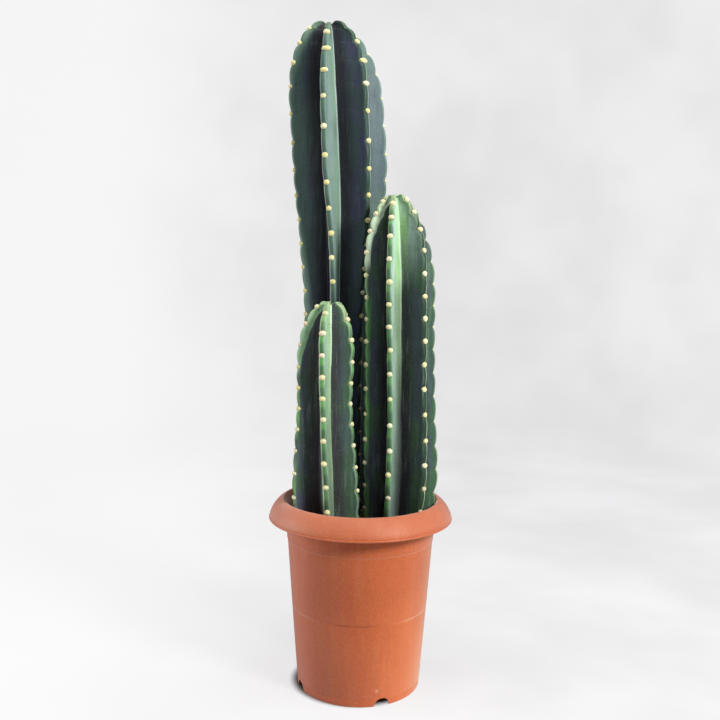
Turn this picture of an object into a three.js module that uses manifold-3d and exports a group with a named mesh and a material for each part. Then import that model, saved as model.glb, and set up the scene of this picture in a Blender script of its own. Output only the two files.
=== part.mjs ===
// A potted tall cactus: three ribbed columnar stems planted in soil, in a tapered plastic pot with a
// rolled rim. Millimetres and degrees, +Z up, the front towards -Y, +X to the right. The origin is on
// the pot's axis, at the surface that the pot stands on.
import * as THREE from "three";
import { mergeVertices } from "three/addons/utils/BufferGeometryUtils.js";
import Module from "manifold-3d";

const wasm = await Module();
wasm.setup();

// Driving dimensions

const TOUCH_GAP = 0.3; // between pieces that touch
const CUT_MARGIN = 2; // that a cutter reaches past a face
const CLOSE = 1e-3; // what counts as the same place

const POT = {
  segments: 44,
  wall: 2.6,
  footRadius: 80.4,
  footWall: 3.4,
  footRounding: 1.2,
  floorHeight: 11,
  beltHeight: 107.7, // the fine groove half way up
  beltRadius: 88.6,
  beltDepth: 0.9,
  beltHalfWidth: 2.2,
  ringHeight: 195, // the faint step under the rim
  ringStep: 0.6,
  ringWidth: 1.2,
  lipHeight: 222.4, // the lowest edge of the rim's overhang
  lipBand: 2.4,
  lipEdge: 0.4,
  neckRadius: 96.8, // of the wall's outside at the lip's height
  rimRadius: 119.5,
  crownRadius: 100.6, // of the highest circle of the rim
  height: 248,
  mouthRadius: 98.7, // where the rim turns down into the mouth
  mouthDrop: 1.6,
  throatDrop: 4.8, // from the crown to where the mouth's turn meets the straight inside
  throatFlare: 0.6,
  notchRadius: 10.5,
  notchLength: 17,
  notchSegments: 16,
  notchTurn: 22,
  notches: 4,
  drainRadius: 6,
  drainSegments: 12,
  drainCircle: 50,
  drains: 6,
};

const SOIL = {
  top: 222,
  rise: 3, // of the mound round the stems over the soil's edge
  shoulder: 12, // the width of the slope down to that edge
  holeSegments: 28,
};

const RIB = {
  crestHalfWidth: 4,
  crestDrop: 0.9, // how far a crest's edges lie behind its middle
  flankSwell: 1.6,
  flankSwellShare: 0.4, // of a flank's half width, which its swelling doesn't pass
  notchDepth: 1.8, // of a crest at an areole, behind the stem's crest radius
  lobeHeight: 2.8, // of the crest's swelling between two areoles, over the notch
  lobeLean: 0.8, // under 1, the swelling is fuller towards its upper areole
  lobeFullness: 0.8, // under 1, it rises more steeply beside the areoles
  buttonHeight: 3.2, // of an areole's felt button, over the notch
  buttonReach: 0.14, // from a button's middle to its edge, in steps between areoles
  grooveShare: 0.42, // the groove's radius over the crest's
  fullSize: 20, // a crest nearer to the axis than this has a narrower, lower section
  tipRows: 4, // from the tip to the first areole
  footRows: 2, // from the last areole to the soil
};

const APEX = { firstDepth: 0.4, sink: 4.5 };

const ROOT = { share: 0.86, taper: 0.8, depth: 82 };

// A station holds a height, the axis there in x and y, the crest radius and the ribs' turn.
// A step holds a depth under the tip, and how far apart the areoles of one rib lie there.
// A rib has its direction from the front, positive to the right, and one areole's depth under the tip.
const STEMS = [
  {
    name: "stem_tall",
    apex: 862,
    domeLength: 104,
    stations: [
      { z: 862, x: -48.5, y: 34, radius: 60, turn: 7 },
      { z: 800, x: -42.7, y: 34, radius: 60, turn: -1.5 },
      { z: 732, x: -36.8, y: 35, radius: 60.5, turn: -6 },
      { z: 662, x: -32.5, y: 36, radius: 60, turn: -7 },
      { z: 582, x: -33.6, y: 37, radius: 51.5, turn: 0 },
      { z: 502, x: -35.4, y: 38.5, radius: 44, turn: 5 },
      { z: 400, x: -34.2, y: 40.5, radius: 43, turn: 2 },
      { z: 222, x: -32, y: 42.5, radius: 41, turn: 0 },
    ],
    steps: [
      { depth: 0, step: 10 },
      { depth: 30, step: 23 },
      { depth: 75, step: 29.5 },
      { depth: 130, step: 37.5 },
      { depth: 190, step: 33 },
      { depth: 260, step: 30.5 },
      { depth: 640, step: 30.5 },
    ],
    ribs: [
      { angle: -75, areole: 190.9 },
      { angle: -9.5, areole: 177.5 },
      { angle: 45, areole: 192.2 },
      { angle: 97, areole: 201.6 },
      { angle: 160, areole: 184 },
      { angle: 224, areole: 178 },
    ],
  },
  {
    name: "stem_middle",
    apex: 638,
    domeLength: 104,
    stations: [
      { z: 638, x: 38, y: -18, radius: 46, turn: 9 },
      { z: 590, x: 41, y: -18, radius: 46, turn: 7 },
      { z: 520, x: 46, y: -18, radius: 45, turn: 0 },
      { z: 440, x: 47, y: -18, radius: 45.5, turn: 0 },
      { z: 360, x: 48.5, y: -18, radius: 46.5, turn: -0.5 },
      { z: 290, x: 50.8, y: -17.5, radius: 48, turn: -4 },
      { z: 255, x: 50, y: -17, radius: 46.4, turn: -5 },
      { z: 222, x: 47.7, y: -16, radius: 43.5, turn: -6.5 },
    ],
    steps: [
      { depth: 0, step: 9 },
      { depth: 30, step: 21 },
      { depth: 70, step: 28.5 },
      { depth: 150, step: 27 },
      { depth: 280, step: 33 },
      { depth: 340, step: 29.5 },
      { depth: 420, step: 30 },
    ],
    ribs: [
      { angle: -74.5, areole: 185.5 },
      { angle: -17, areole: 191.5 },
      { angle: 40, areole: 180.6 },
      { angle: 103, areole: 194 },
      { angle: 163, areole: 183 },
      { angle: 224, areole: 176 },
    ],
  },
  {
    name: "stem_short",
    apex: 505,
    domeLength: 78,
    stations: [
      { z: 505, x: -40.8, y: -29, radius: 40, turn: -12 },
      { z: 460, x: -43.6, y: -29, radius: 38, turn: -6.5 },
      { z: 420, x: -45.6, y: -28.5, radius: 36.5, turn: -2.6 },
      { z: 375, x: -46.6, y: -28, radius: 35.5, turn: 1.8 },
      { z: 305, x: -45.8, y: -27, radius: 40.6, turn: 5.5 },
      { z: 262, x: -45.2, y: -26.5, radius: 43.2, turn: 8 },
      { z: 222, x: -42.8, y: -26, radius: 42.5, turn: 9 },
    ],
    steps: [
      { depth: 0, step: 14 },
      { depth: 30, step: 25.5 },
      { depth: 60, step: 27.8 },
      { depth: 130, step: 25.5 },
      { depth: 190, step: 28 },
      { depth: 240, step: 31 },
      { depth: 290, step: 31 },
    ],
    ribs: [
      { angle: -75.8, areole: 188.9 },
      { angle: -4.2, areole: 171.7 },
      { angle: 67.9, areole: 181.2 },
      { angle: 137, areole: 175 },
      { angle: 208, areole: 184 },
    ],
  },
];

const COLOURS = { clay: 0xb4603c, soil: 0x3a2c22, skin: 0x2f5a45 };

const radians = THREE.MathUtils.degToRad;
const lerp = THREE.MathUtils.lerp;

// Solids

function solidOf(geometry) {
  const bare = geometry.clone();
  bare.deleteAttribute("normal");
  bare.deleteAttribute("uv");
  const merged = mergeVertices(bare, 1e-3);
  return new wasm.Manifold(
    new wasm.Mesh({
      numProp: 3,
      vertProperties: merged.attributes.position.array,
      triVerts: new Uint32Array(merged.index.array),
    }),
  );
}

function geometryOf(solid) {
  const mesh = solid.getMesh();
  const geometry = new THREE.BufferGeometry();
  geometry.setAttribute("position", new THREE.BufferAttribute(mesh.vertProperties, 3));
  geometry.setIndex(new THREE.BufferAttribute(mesh.triVerts, 1));
  geometry.computeVertexNormals();
  return geometry;
}

function pieceOf(name, geometry, colour, roughness) {
  const mesh = new THREE.Mesh(
    geometry,
    new THREE.MeshStandardMaterial({ color: colour, roughness, metalness: 0 }),
  );
  mesh.name = name;
  return mesh;
}

// A profile of [radius, height] points, anticlockwise with the axis to its left, turned round the Z axis.
function turned(points, segments) {
  const profile = points.map(([radius, height]) => new THREE.Vector2(radius, height));
  return new THREE.LatheGeometry(profile, segments).rotateX(Math.PI / 2);
}

// Points on an elliptical arc between two angles, measured from the outward radius towards +Z.
function arc(centreRadius, centreHeight, radial, vertical, from, to, steps) {
  return Array.from({ length: steps + 1 }, (_, i) => {
    const angle = radians(lerp(from, to, i / steps));
    return [
      centreRadius + radial * Math.cos(angle),
      centreHeight + vertical * Math.sin(angle),
    ];
  });
}

// The pot

// The radius of the wall's outside, which tapers in two straight stretches.
function wallRadius(height) {
  return height < POT.beltHeight
    ? lerp(POT.footRadius, POT.beltRadius, height / POT.beltHeight)
    : lerp(
        POT.beltRadius,
        POT.neckRadius,
        (height - POT.beltHeight) / (POT.lipHeight - POT.beltHeight),
      );
}

const insideRadius = (height) => wallRadius(height) - POT.wall;

// The rim rises as a quarter ellipse from the lip to its crown, then turns down into the mouth.
const RIM_RISE = POT.height - POT.lipHeight - POT.lipBand;

function potProfile() {
  const lipTop = POT.lipHeight + POT.lipBand;
  const rimWidth = POT.rimRadius - POT.crownRadius;
  const mouthWidth = POT.crownRadius - POT.mouthRadius;
  const belt = POT.beltHalfWidth;
  const throat = POT.height - POT.throatDrop;
  return [
    [POT.footRadius - POT.footWall, 0],
    [POT.footRadius - POT.footRounding, 0],
    [wallRadius(POT.footRounding), POT.footRounding],
    [wallRadius(POT.beltHeight - belt), POT.beltHeight - belt],
    [POT.beltRadius - POT.beltDepth, POT.beltHeight],
    [wallRadius(POT.beltHeight + belt), POT.beltHeight + belt],
    [wallRadius(POT.ringHeight), POT.ringHeight],
    [wallRadius(POT.ringHeight) + POT.ringStep, POT.ringHeight + POT.ringWidth],
    [wallRadius(lipTop) + POT.ringStep, lipTop],
    // under the overhang, up to the hollow behind the lip and down again
    ...arc(
      POT.crownRadius,
      lipTop,
      POT.crownRadius - wallRadius(lipTop) - POT.ringStep,
      RIM_RISE - POT.wall,
      150,
      90,
      2,
    ),
    ...arc(POT.crownRadius, lipTop, rimWidth - POT.wall, RIM_RISE - POT.wall, 55, 0, 2),
    [POT.rimRadius - POT.wall, POT.lipHeight],
    // round the outside of the rim and down into the mouth
    [POT.rimRadius - POT.lipEdge, POT.lipHeight],
    ...arc(POT.crownRadius, lipTop, rimWidth, RIM_RISE, 0, 90, 5),
    ...arc(POT.crownRadius, POT.height - POT.mouthDrop, mouthWidth, POT.mouthDrop, 135, 180, 1),
    [insideRadius(throat) + POT.throatFlare, throat],
    [insideRadius(lipTop), lipTop],
    [insideRadius(POT.beltHeight), POT.beltHeight],
    [insideRadius(POT.floorHeight + POT.wall), POT.floorHeight + POT.wall],
    [0, POT.floorHeight + POT.wall],
    [0, POT.floorHeight],
    [wallRadius(POT.floorHeight) - POT.footWall, POT.floorHeight],
    [POT.footRadius - POT.footWall, 0],
  ];
}

// The cutter of a notch: a cylinder that lies across the foot's wall, turned round the pot's axis.
function notchCutter(turn) {
  return new THREE.CylinderGeometry(
    POT.notchRadius,
    POT.notchRadius,
    POT.notchLength,
    POT.notchSegments,
  )
    .translate(0, -POT.footRadius, 0)
    .rotateZ(radians(turn));
}

// The cutter of a hole: an upright cylinder or cone between two heights.
function holeCutter(topRadius, bottomRadius, bottom, top, x, y, segments) {
  return new THREE.CylinderGeometry(topRadius, bottomRadius, top - bottom, segments)
    .rotateX(Math.PI / 2)
    .translate(x, y, (bottom + top) / 2);
}

function potGeometry() {
  let solid = solidOf(turned(potProfile(), POT.segments));
  for (let i = 0; i < POT.notches; i += 1) {
    const cutter = notchCutter(POT.notchTurn + (360 / POT.notches) * i);
    solid = solid.subtract(solidOf(cutter));
  }
  for (let i = 0; i < POT.drains; i += 1) {
    const angle = radians((360 / POT.drains) * i);
    const cutter = holeCutter(
      POT.drainRadius,
      POT.drainRadius,
      POT.floorHeight - CUT_MARGIN,
      POT.floorHeight + POT.wall + CUT_MARGIN,
      POT.drainCircle * Math.sin(angle),
      POT.drainCircle * Math.cos(angle),
      POT.drainSegments,
    );
    solid = solid.subtract(solidOf(cutter));
  }
  return geometryOf(solid);
}

// The stems

// A smooth curve through the stations of a stem: the value of one of their keys at a height.
function along(stations, z, key) {
  const last = stations.length - 1;
  let i = stations.findIndex((station, n) => n < last && z >= stations[n + 1].z);
  if (i < 0) i = last - 1;
  const slope = (n) => {
    const above = stations[Math.max(n - 1, 0)];
    const below = stations[Math.min(n + 1, last)];
    return (above[key] - below[key]) / (above.z - below.z);
  };
  const [a, b] = [stations[i], stations[i + 1]];
  const span = b.z - a.z;
  const t = THREE.MathUtils.clamp((z - a.z) / span, 0, 1);
  const t2 = t * t;
  const t3 = t2 * t;
  return (
    (2 * t3 - 3 * t2 + 1) * a[key] +
    (t3 - 2 * t2 + t) * span * slope(i) +
    (3 * t2 - 2 * t3) * b[key] +
    (t3 - t2) * span * slope(i + 1)
  );
}

// Down a rib the areoles lie a whole count of steps apart. Between two listed depths the step changes
// evenly, so the count of steps over a stretch is a logarithm, and the way back an exponential.
function stepStretch(steps, n) {
  const [a, b] = [steps[n], steps[n + 1]];
  const length = b.depth - a.depth;
  const growth = (b.step - a.step) / length;
  const flat = a.step === b.step;
  return {
    count: flat ? length / a.step : Math.log(b.step / a.step) / growth,
    upTo: (depth) =>
      flat
        ? (depth - a.depth) / a.step
        : Math.log(1 + (growth * (depth - a.depth)) / a.step) / growth,
    depthOf: (count) =>
      a.depth + (flat ? count * a.step : (a.step * (Math.exp(growth * count) - 1)) / growth),
  };
}

function stepsAt(depth, steps) {
  let passed = 0;
  for (let n = 0; ; n += 1) {
    const stretch = stepStretch(steps, n);
    if (depth <= steps[n + 1].depth || n === steps.length - 2) return passed + stretch.upTo(depth);
    passed += stretch.count;
  }
}

function depthAt(count, steps) {
  let passed = 0;
  for (let n = 0; ; n += 1) {
    const stretch = stepStretch(steps, n);
    if (count - passed <= stretch.count || n === steps.length - 2)
      return stretch.depthOf(count - passed);
    passed += stretch.count;
  }
}

// How far round the tip's dome a depth lies: the share of the full radius, and the surface's direction.
function domeAt(depth, stem, radius) {
  const fall = 1 - Math.min(depth / stem.domeLength, 1);
  const share = Math.sqrt(1 - fall * fall);
  const out = share / radius;
  const up = fall / stem.domeLength;
  const length = Math.hypot(out, up);
  return { share, fall, out: out / length, up: up / length };
}

// How far a crest stands over its notches, a share of the way down from one areole to the next.
function crestLobe(share) {
  return RIB.lobeHeight * Math.sin(Math.PI * share ** RIB.lobeLean) ** RIB.lobeFullness;
}

const wrap = (value) => value - Math.floor(value);

// Where a rib's areoles begin, in steps down the stem, and how many whole steps follow before the soil.
function areolesOf(stem, rib, base) {
  const reach = RIB.buttonReach;
  const first = stepsAt(APEX.firstDepth, stem.steps);
  const last = stepsAt(stem.apex - base, stem.steps);
  const start = first + reach + wrap(stepsAt(rib.areole, stem.steps) - first - reach);
  return { first, start, last, whole: Math.floor(last - start - 2 * reach) };
}

// A rib's rows, in steps down the stem: from the tip to its first areole, four to each step with one
// on the areole and one on either side of its button, then down to the soil.
function rowsOf({ first, start, last }, whole) {
  const reach = RIB.buttonReach;
  const tail = start + whole + reach;
  const rows = [];
  for (let i = 0; i < RIB.tipRows; i += 1) rows.push(lerp(first, start, i / RIB.tipRows));
  for (let i = 0; i < whole; i += 1)
    rows.push(start + i, start + i + reach, start + i + 0.5, start + i + 1 - reach);
  rows.push(start + whole, tail);
  for (let i = 1; i <= RIB.footRows; i += 1) rows.push(lerp(tail, last, i / RIB.footRows));
  return rows;
}

const COLUMNS = ["left flank", "left edge", "crest", "right edge", "right flank", "groove"];

// A stem is a net of columns, six to a rib, and rows, which every rib has the same number of.
function stemGeometry(stem) {
  const base = SOIL.top + TOUCH_GAP;
  const areoles = stem.ribs.map((rib) => areolesOf(stem, rib, base));
  const whole = Math.min(...areoles.map((rib) => rib.whole));
  const ribs = stem.ribs.map((rib, i) => ({
    angle: rib.angle,
    start: areoles[i].start,
    rows: rowsOf(areoles[i], whole),
  }));
  const count = ribs.length;
  const lastRow = ribs[0].rows.length - 1;
  const footDepth = stem.apex - base;

  const place = (depth, out, side, angle, up) => {
    const z = stem.apex - depth;
    const turn = radians(angle + along(stem.stations, z, "turn"));
    return new THREE.Vector3(
      along(stem.stations, z, "x") + out * Math.sin(turn) + side * Math.cos(turn),
      along(stem.stations, z, "y") - out * Math.cos(turn) + side * Math.sin(turn),
      z + up,
    );
  };

  const crest = (rib, row, side) => {
    const depth = depthAt(rib.rows[row], stem.steps);
    const full = along(stem.stations, stem.apex - depth, "radius");
    const dome = domeAt(depth, stem, full);
    const radius = full * dome.share;
    const size = Math.min(radius / RIB.fullSize, 1);
    const share = wrap(rib.rows[row] - rib.start);
    const onAreole = Math.min(share, 1 - share) < CLOSE;
    const button = side === 0 && onAreole ? RIB.buttonHeight : 0;
    const drop = RIB.notchDepth + Math.abs(side) * RIB.crestDrop;
    const proud = size * (crestLobe(share) + button - drop);
    return place(
      row === lastRow ? footDepth : depth,
      radius + proud * dome.out,
      side * size * RIB.crestHalfWidth,
      rib.angle,
      row === lastRow ? 0 : proud * dome.up,
    );
  };

  const groove = (index, row) => {
    const rib = ribs[index];
    const next = ribs[(index + 1) % count];
    const gap = next.angle - rib.angle + (index + 1 === count ? 360 : 0);
    const depth = depthAt((rib.rows[row] + next.rows[row]) / 2, stem.steps);
    const full = along(stem.stations, stem.apex - depth, "radius");
    const dome = domeAt(depth, stem, full);
    return place(
      row === lastRow ? footDepth : depth + APEX.sink * dome.fall ** 4,
      RIB.grooveShare * full * dome.share,
      0,
      rib.angle + gap / 2,
      0,
    );
  };

  // A flank's middle lies half way from the crest's edge to the groove, swollen outwards.
  const flank = (index, row, side) => {
    const rib = ribs[index];
    const edge = crest(rib, row, side);
    const valley = groove(side > 0 ? index : (index + count - 1) % count, row);
    const halfWidth = edge.distanceTo(valley) / 2;
    const swell = new THREE.Vector3(valley.y - edge.y, edge.x - valley.x, 0)
      .normalize()
      .multiplyScalar(-side * Math.min(RIB.flankSwell, RIB.flankSwellShare * halfWidth));
    return edge.clone().lerp(valley, 0.5).add(swell);
  };

  const point = (column, row) => {
    const index = Math.floor(column / COLUMNS.length);
    switch (COLUMNS[column % COLUMNS.length]) {
      case "left flank":
        return flank(index, row, -1);
      case "left edge":
        return crest(ribs[index], row, -1);
      case "crest":
        return crest(ribs[index], row, 0);
      case "right edge":
        return crest(ribs[index], row, 1);
      case "right flank":
        return flank(index, row, 1);
      default:
        return groove(index, row);
    }
  };

  // Under the ribs the stem goes on as a round, tapered root in its hole in the soil.
  const foot = rootOf(stem);
  const rootEnd = base - ROOT.depth;
  const rootPoint = (column, radius, z) => {
    const outer = point(column, lastRow);
    const way = Math.atan2(outer.y - foot.y, outer.x - foot.x);
    return new THREE.Vector3(foot.x + radius * Math.cos(way), foot.y + radius * Math.sin(way), z);
  };

  // A sphere's rows from pole to pole become the tip, the rows down the ribs, the root and its end.
  const columns = count * COLUMNS.length;
  const bands = lastRow + 4;
  const geometry = new THREE.SphereGeometry(1, columns, bands);
  const position = geometry.attributes.position;
  for (let i = 0; i < position.count; i += 1) {
    const column = (i % (columns + 1)) % columns;
    const band = Math.floor(i / (columns + 1));
    let p;
    if (band === 0) p = place(APEX.sink, 0, 0, 0, 0);
    else if (band <= lastRow + 1) p = point(column, band - 1);
    else if (band === lastRow + 2) p = rootPoint(column, foot.radius, base);
    else if (band === lastRow + 3) p = rootPoint(column, foot.radius * ROOT.taper, rootEnd);
    else p = new THREE.Vector3(foot.x, foot.y, rootEnd);
    position.setXYZ(i, p.x, p.y, p.z);
  }
  return geometryOf(solidOf(geometry));
}

function rootOf(stem) {
  const { x, y, radius } = stem.stations.at(-1);
  return { x, y, radius: ROOT.share * RIB.grooveShare * radius };
}

// The soil

function soilGeometry() {
  const bottom = POT.floorHeight + POT.wall + TOUCH_GAP;
  const edge = SOIL.top - SOIL.rise;
  const profile = [
    [0, bottom],
    [insideRadius(bottom) - TOUCH_GAP, bottom],
    [insideRadius(POT.beltHeight) - TOUCH_GAP, POT.beltHeight],
    [insideRadius(edge) - TOUCH_GAP, edge],
    [insideRadius(edge) - SOIL.shoulder, SOIL.top],
    [0, SOIL.top],
  ];
  let solid = solidOf(turned(profile, POT.segments));
  for (const stem of STEMS) {
    const root = rootOf(stem);
    const clear = TOUCH_GAP + root.radius * (1 / Math.cos(Math.PI / SOIL.holeSegments) - 1);
    const hole = holeCutter(
      root.radius + clear,
      root.radius * ROOT.taper + clear,
      SOIL.top - ROOT.depth,
      SOIL.top + TOUCH_GAP,
      root.x,
      root.y,
      SOIL.holeSegments,
    );
    solid = solid.subtract(solidOf(hole));
  }
  return geometryOf(solid);
}

// The whole plant in its pot

const plant = new THREE.Group();
plant.name = "potted_tall_cactus";
plant.add(pieceOf("pot", potGeometry(), COLOURS.clay, 0.62));
plant.add(pieceOf("soil", soilGeometry(), COLOURS.soil, 0.95));
for (const stem of STEMS)
  plant.add(pieceOf(stem.name, stemGeometry(stem), COLOURS.skin, 0.5));

export default plant;
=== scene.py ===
"""The finished looks of a potted tall cactus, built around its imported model.

Three ribbed stems with felt areoles stand in potting mix, in a terracotta-coloured plastic pot with a
rolled rim. The meshes are built in millimetres and degrees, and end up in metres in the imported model's
frame: +Z up, the front towards -Y, and the origin on the pot's axis, where the pot stands. The
finishes' own places and the studio are in metres.
"""

import logging
import math
import random
from collections.abc import Iterator, Mapping, Sequence
from dataclasses import dataclass
from enum import Enum

import bmesh
import bpy
from mathutils import Matrix, Vector, noise


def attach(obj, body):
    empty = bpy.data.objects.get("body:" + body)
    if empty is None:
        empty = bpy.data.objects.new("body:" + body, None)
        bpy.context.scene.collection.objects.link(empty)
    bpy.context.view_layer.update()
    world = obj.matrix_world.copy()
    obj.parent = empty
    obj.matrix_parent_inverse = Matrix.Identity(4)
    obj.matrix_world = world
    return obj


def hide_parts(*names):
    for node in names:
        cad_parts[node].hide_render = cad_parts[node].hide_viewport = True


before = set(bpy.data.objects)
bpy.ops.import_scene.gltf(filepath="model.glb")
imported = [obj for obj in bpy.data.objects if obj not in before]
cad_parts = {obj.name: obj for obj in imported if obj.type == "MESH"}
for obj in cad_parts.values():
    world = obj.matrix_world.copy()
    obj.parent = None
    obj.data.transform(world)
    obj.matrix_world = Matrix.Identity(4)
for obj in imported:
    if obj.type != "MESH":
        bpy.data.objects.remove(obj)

MM = 0.001

# The seeds of the soil's crumbs, of the areoles' differences and of the stems' slow unevenness. The last
# one would start from the clock if it weren't set.
SOIL_SEED = 31
AREOLE_SEED = 12
WANDER_SEED = 7

# What a point of the skin reads as its distance from a crest or a groove that isn't near, as the width
# of a strip that isn't there, and as its depth at the root's end.
FAR = 60.0
NO_STRIP = -9.0
ROOT_END = 999.0

# The length and the reach of the stems' slow unevenness and of the finer one on it, in millimetres, and
# where in the noise the finer one starts.
SLOW_LENGTH, SLOW_REACH = 34, 0.55
FINE_LENGTH, FINE_REACH = 9, 0.16
FINE_START = Vector((7, 3, 5))

# The numbers that the skin's mesh holds at each of its points.
SKIN_NUMBERS = ("flank", "rise", "gap", "steps", "depth", "green", "wax_and_painted_light", "line", "seam", "strip")

log = logging.getLogger("potted_cactus")

Point = tuple[float, float]
Triple = tuple[float, float, float]
Socket = bpy.types.NodeSocket
Value = Socket | float | Triple | Vector


# Numbers


def lerp(low: float, high: float, share: float) -> float:
    """The number that lies a share of the way from low to high."""
    return low + (high - low) * share


def clamp(value: float, low: float = 0.0, high: float = 1.0) -> float:
    """The nearest number to value that lies from low to high."""
    return max(low, min(high, value))


def fraction(value: float) -> float:
    """What is left of a number over its whole part, from 0 up to 1."""
    return value - math.floor(value)


def arc(
    centre: Point, radial: float, vertical: float, angles: Point, steps: int, lean: float = 1
) -> list[Point]:
    """Points on an elliptical arc of a profile.

    Args:
        centre: The ellipse's centre, as a radius and a height.
        radial: Its half width, along the radius.
        vertical: Its half height.
        angles: The first and the last point's angle, from the outward radius towards +Z.
        steps: How many equal steps lie between them.
        lean: 1 for an ellipse, and more for an arc that is flatter between its ends.

    Returns:
        The points, from the first to the last.
    """
    points = []
    for i in range(steps + 1):
        angle = math.radians(lerp(*angles, i / steps))
        parts = (math.cos(angle), math.sin(angle))
        across, over = (math.copysign(abs(part) ** lean, part) for part in parts)
        points.append((centre[0] + radial * across, centre[1] + vertical * over))
    return points


# Meshes


class Frame(Enum):
    """The body that the pieces ride on."""

    ROOT = "root"


class Slot(Enum):
    """The record's material slots."""

    POT = "pot_plastic"
    SOIL = "potting_mix"
    SKIN = "cactus_skin"


def spun(profile: Sequence[Point], steps: int) -> bmesh.types.BMesh:
    """Spins a body of revolution round the Z axis.

    Args:
        profile: The closed profile's points, as radii and heights in millimetres.
        steps: How many faces lie round the axis.

    Returns:
        A closed bmesh in millimetres, with its faces outwards.
    """
    bm = bmesh.new()
    ring = [bm.verts.new((radius, 0.0, height)) for radius, height in profile]
    edges = [bm.edges.new((a, b)) for a, b in zip(ring, ring[1:] + ring[:1]) if a.co.x + b.co.x > 0]
    bmesh.ops.spin(
        bm,
        geom=ring + edges,
        cent=(0, 0, 0),
        axis=(0, 0, 1),
        dvec=(0, 0, 0),
        angle=math.tau,
        steps=steps,
        use_merge=True,
        use_duplicate=False,
    )
    bmesh.ops.remove_doubles(bm, verts=bm.verts, dist=1e-3)
    bmesh.ops.recalc_face_normals(bm, faces=bm.faces)
    return bm


def rod(bm: bmesh.types.BMesh, radius: float, length: float, segments: int, place: Matrix) -> None:
    """Adds a closed cylinder to a bmesh.

    Args:
        bm: The bmesh.
        radius: The cylinder's radius.
        length: Its length, along its place's Z axis.
        segments: How many faces lie round it.
        place: Where its middle lies, and its turn.
    """
    bmesh.ops.create_cone(
        bm, cap_ends=True, segments=segments, radius1=radius, radius2=radius, depth=length, matrix=place
    )


def piece_of(
    bm: bmesh.types.BMesh, name: str, material: bpy.types.Material, sharp: float = 180
) -> bpy.types.Object:
    """Makes an object of a bmesh, in metres and smooth shaded, and frees the bmesh.

    Args:
        bm: The shape, in millimetres.
        name: The object's name.
        material: Its one material.
        sharp: The angle between two faces from which the edge stays sharp.

    Returns:
        The object, at the origin and unscaled.
    """
    bmesh.ops.scale(bm, vec=(MM, MM, MM), verts=bm.verts)
    mesh = bpy.data.meshes.new(name)
    bm.to_mesh(mesh)
    bm.free()
    mesh.materials.append(material)
    mesh.polygons.foreach_set("use_smooth", [True] * len(mesh.polygons))
    if sharp < 180:
        mesh.set_sharp_from_angle(angle=math.radians(sharp))
    made = bpy.data.objects.new(name, mesh)
    bpy.context.scene.collection.objects.link(made)
    return made


def cut(piece: bpy.types.Object, cutters: bmesh.types.BMesh) -> None:
    """Cuts closed cutters out of a piece's mesh.

    Args:
        piece: The piece.
        cutters: The cutters, in millimetres, which are used up.
    """
    tool = piece_of(cutters, piece.name + "_cutters", piece.data.materials[0])
    step = piece.modifiers.new("cut", "BOOLEAN")
    step.operation = "DIFFERENCE"
    step.solver = "EXACT"
    step.object = tool
    evaluated = piece.evaluated_get(bpy.context.evaluated_depsgraph_get())
    whole = piece.data
    piece.data = bpy.data.meshes.new_from_object(evaluated)
    piece.modifiers.clear()
    bpy.data.objects.remove(tool)
    bpy.data.meshes.remove(whole)


def dress(piece: bpy.types.Object, slot: Slot, *nodes: str) -> None:
    """Attaches a finished piece to the root's body, hides the nodes that it stands for, and reports it.

    Args:
        piece: The piece.
        slot: Its material slot, which is not used.
        nodes: The nodes that it stands for.
    """
    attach(piece, Frame.ROOT.value)
    if nodes:
        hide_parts(*nodes)
    log.info("%s: %d faces", piece.name, len(piece.data.polygons))


# Materials


class Maths(Enum):
    """What a number node works out."""

    ADD = "ADD"
    SUBTRACT = "SUBTRACT"
    MULTIPLY = "MULTIPLY"
    ABSOLUTE = "ABSOLUTE"
    FRACTION = "FRACT"


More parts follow.
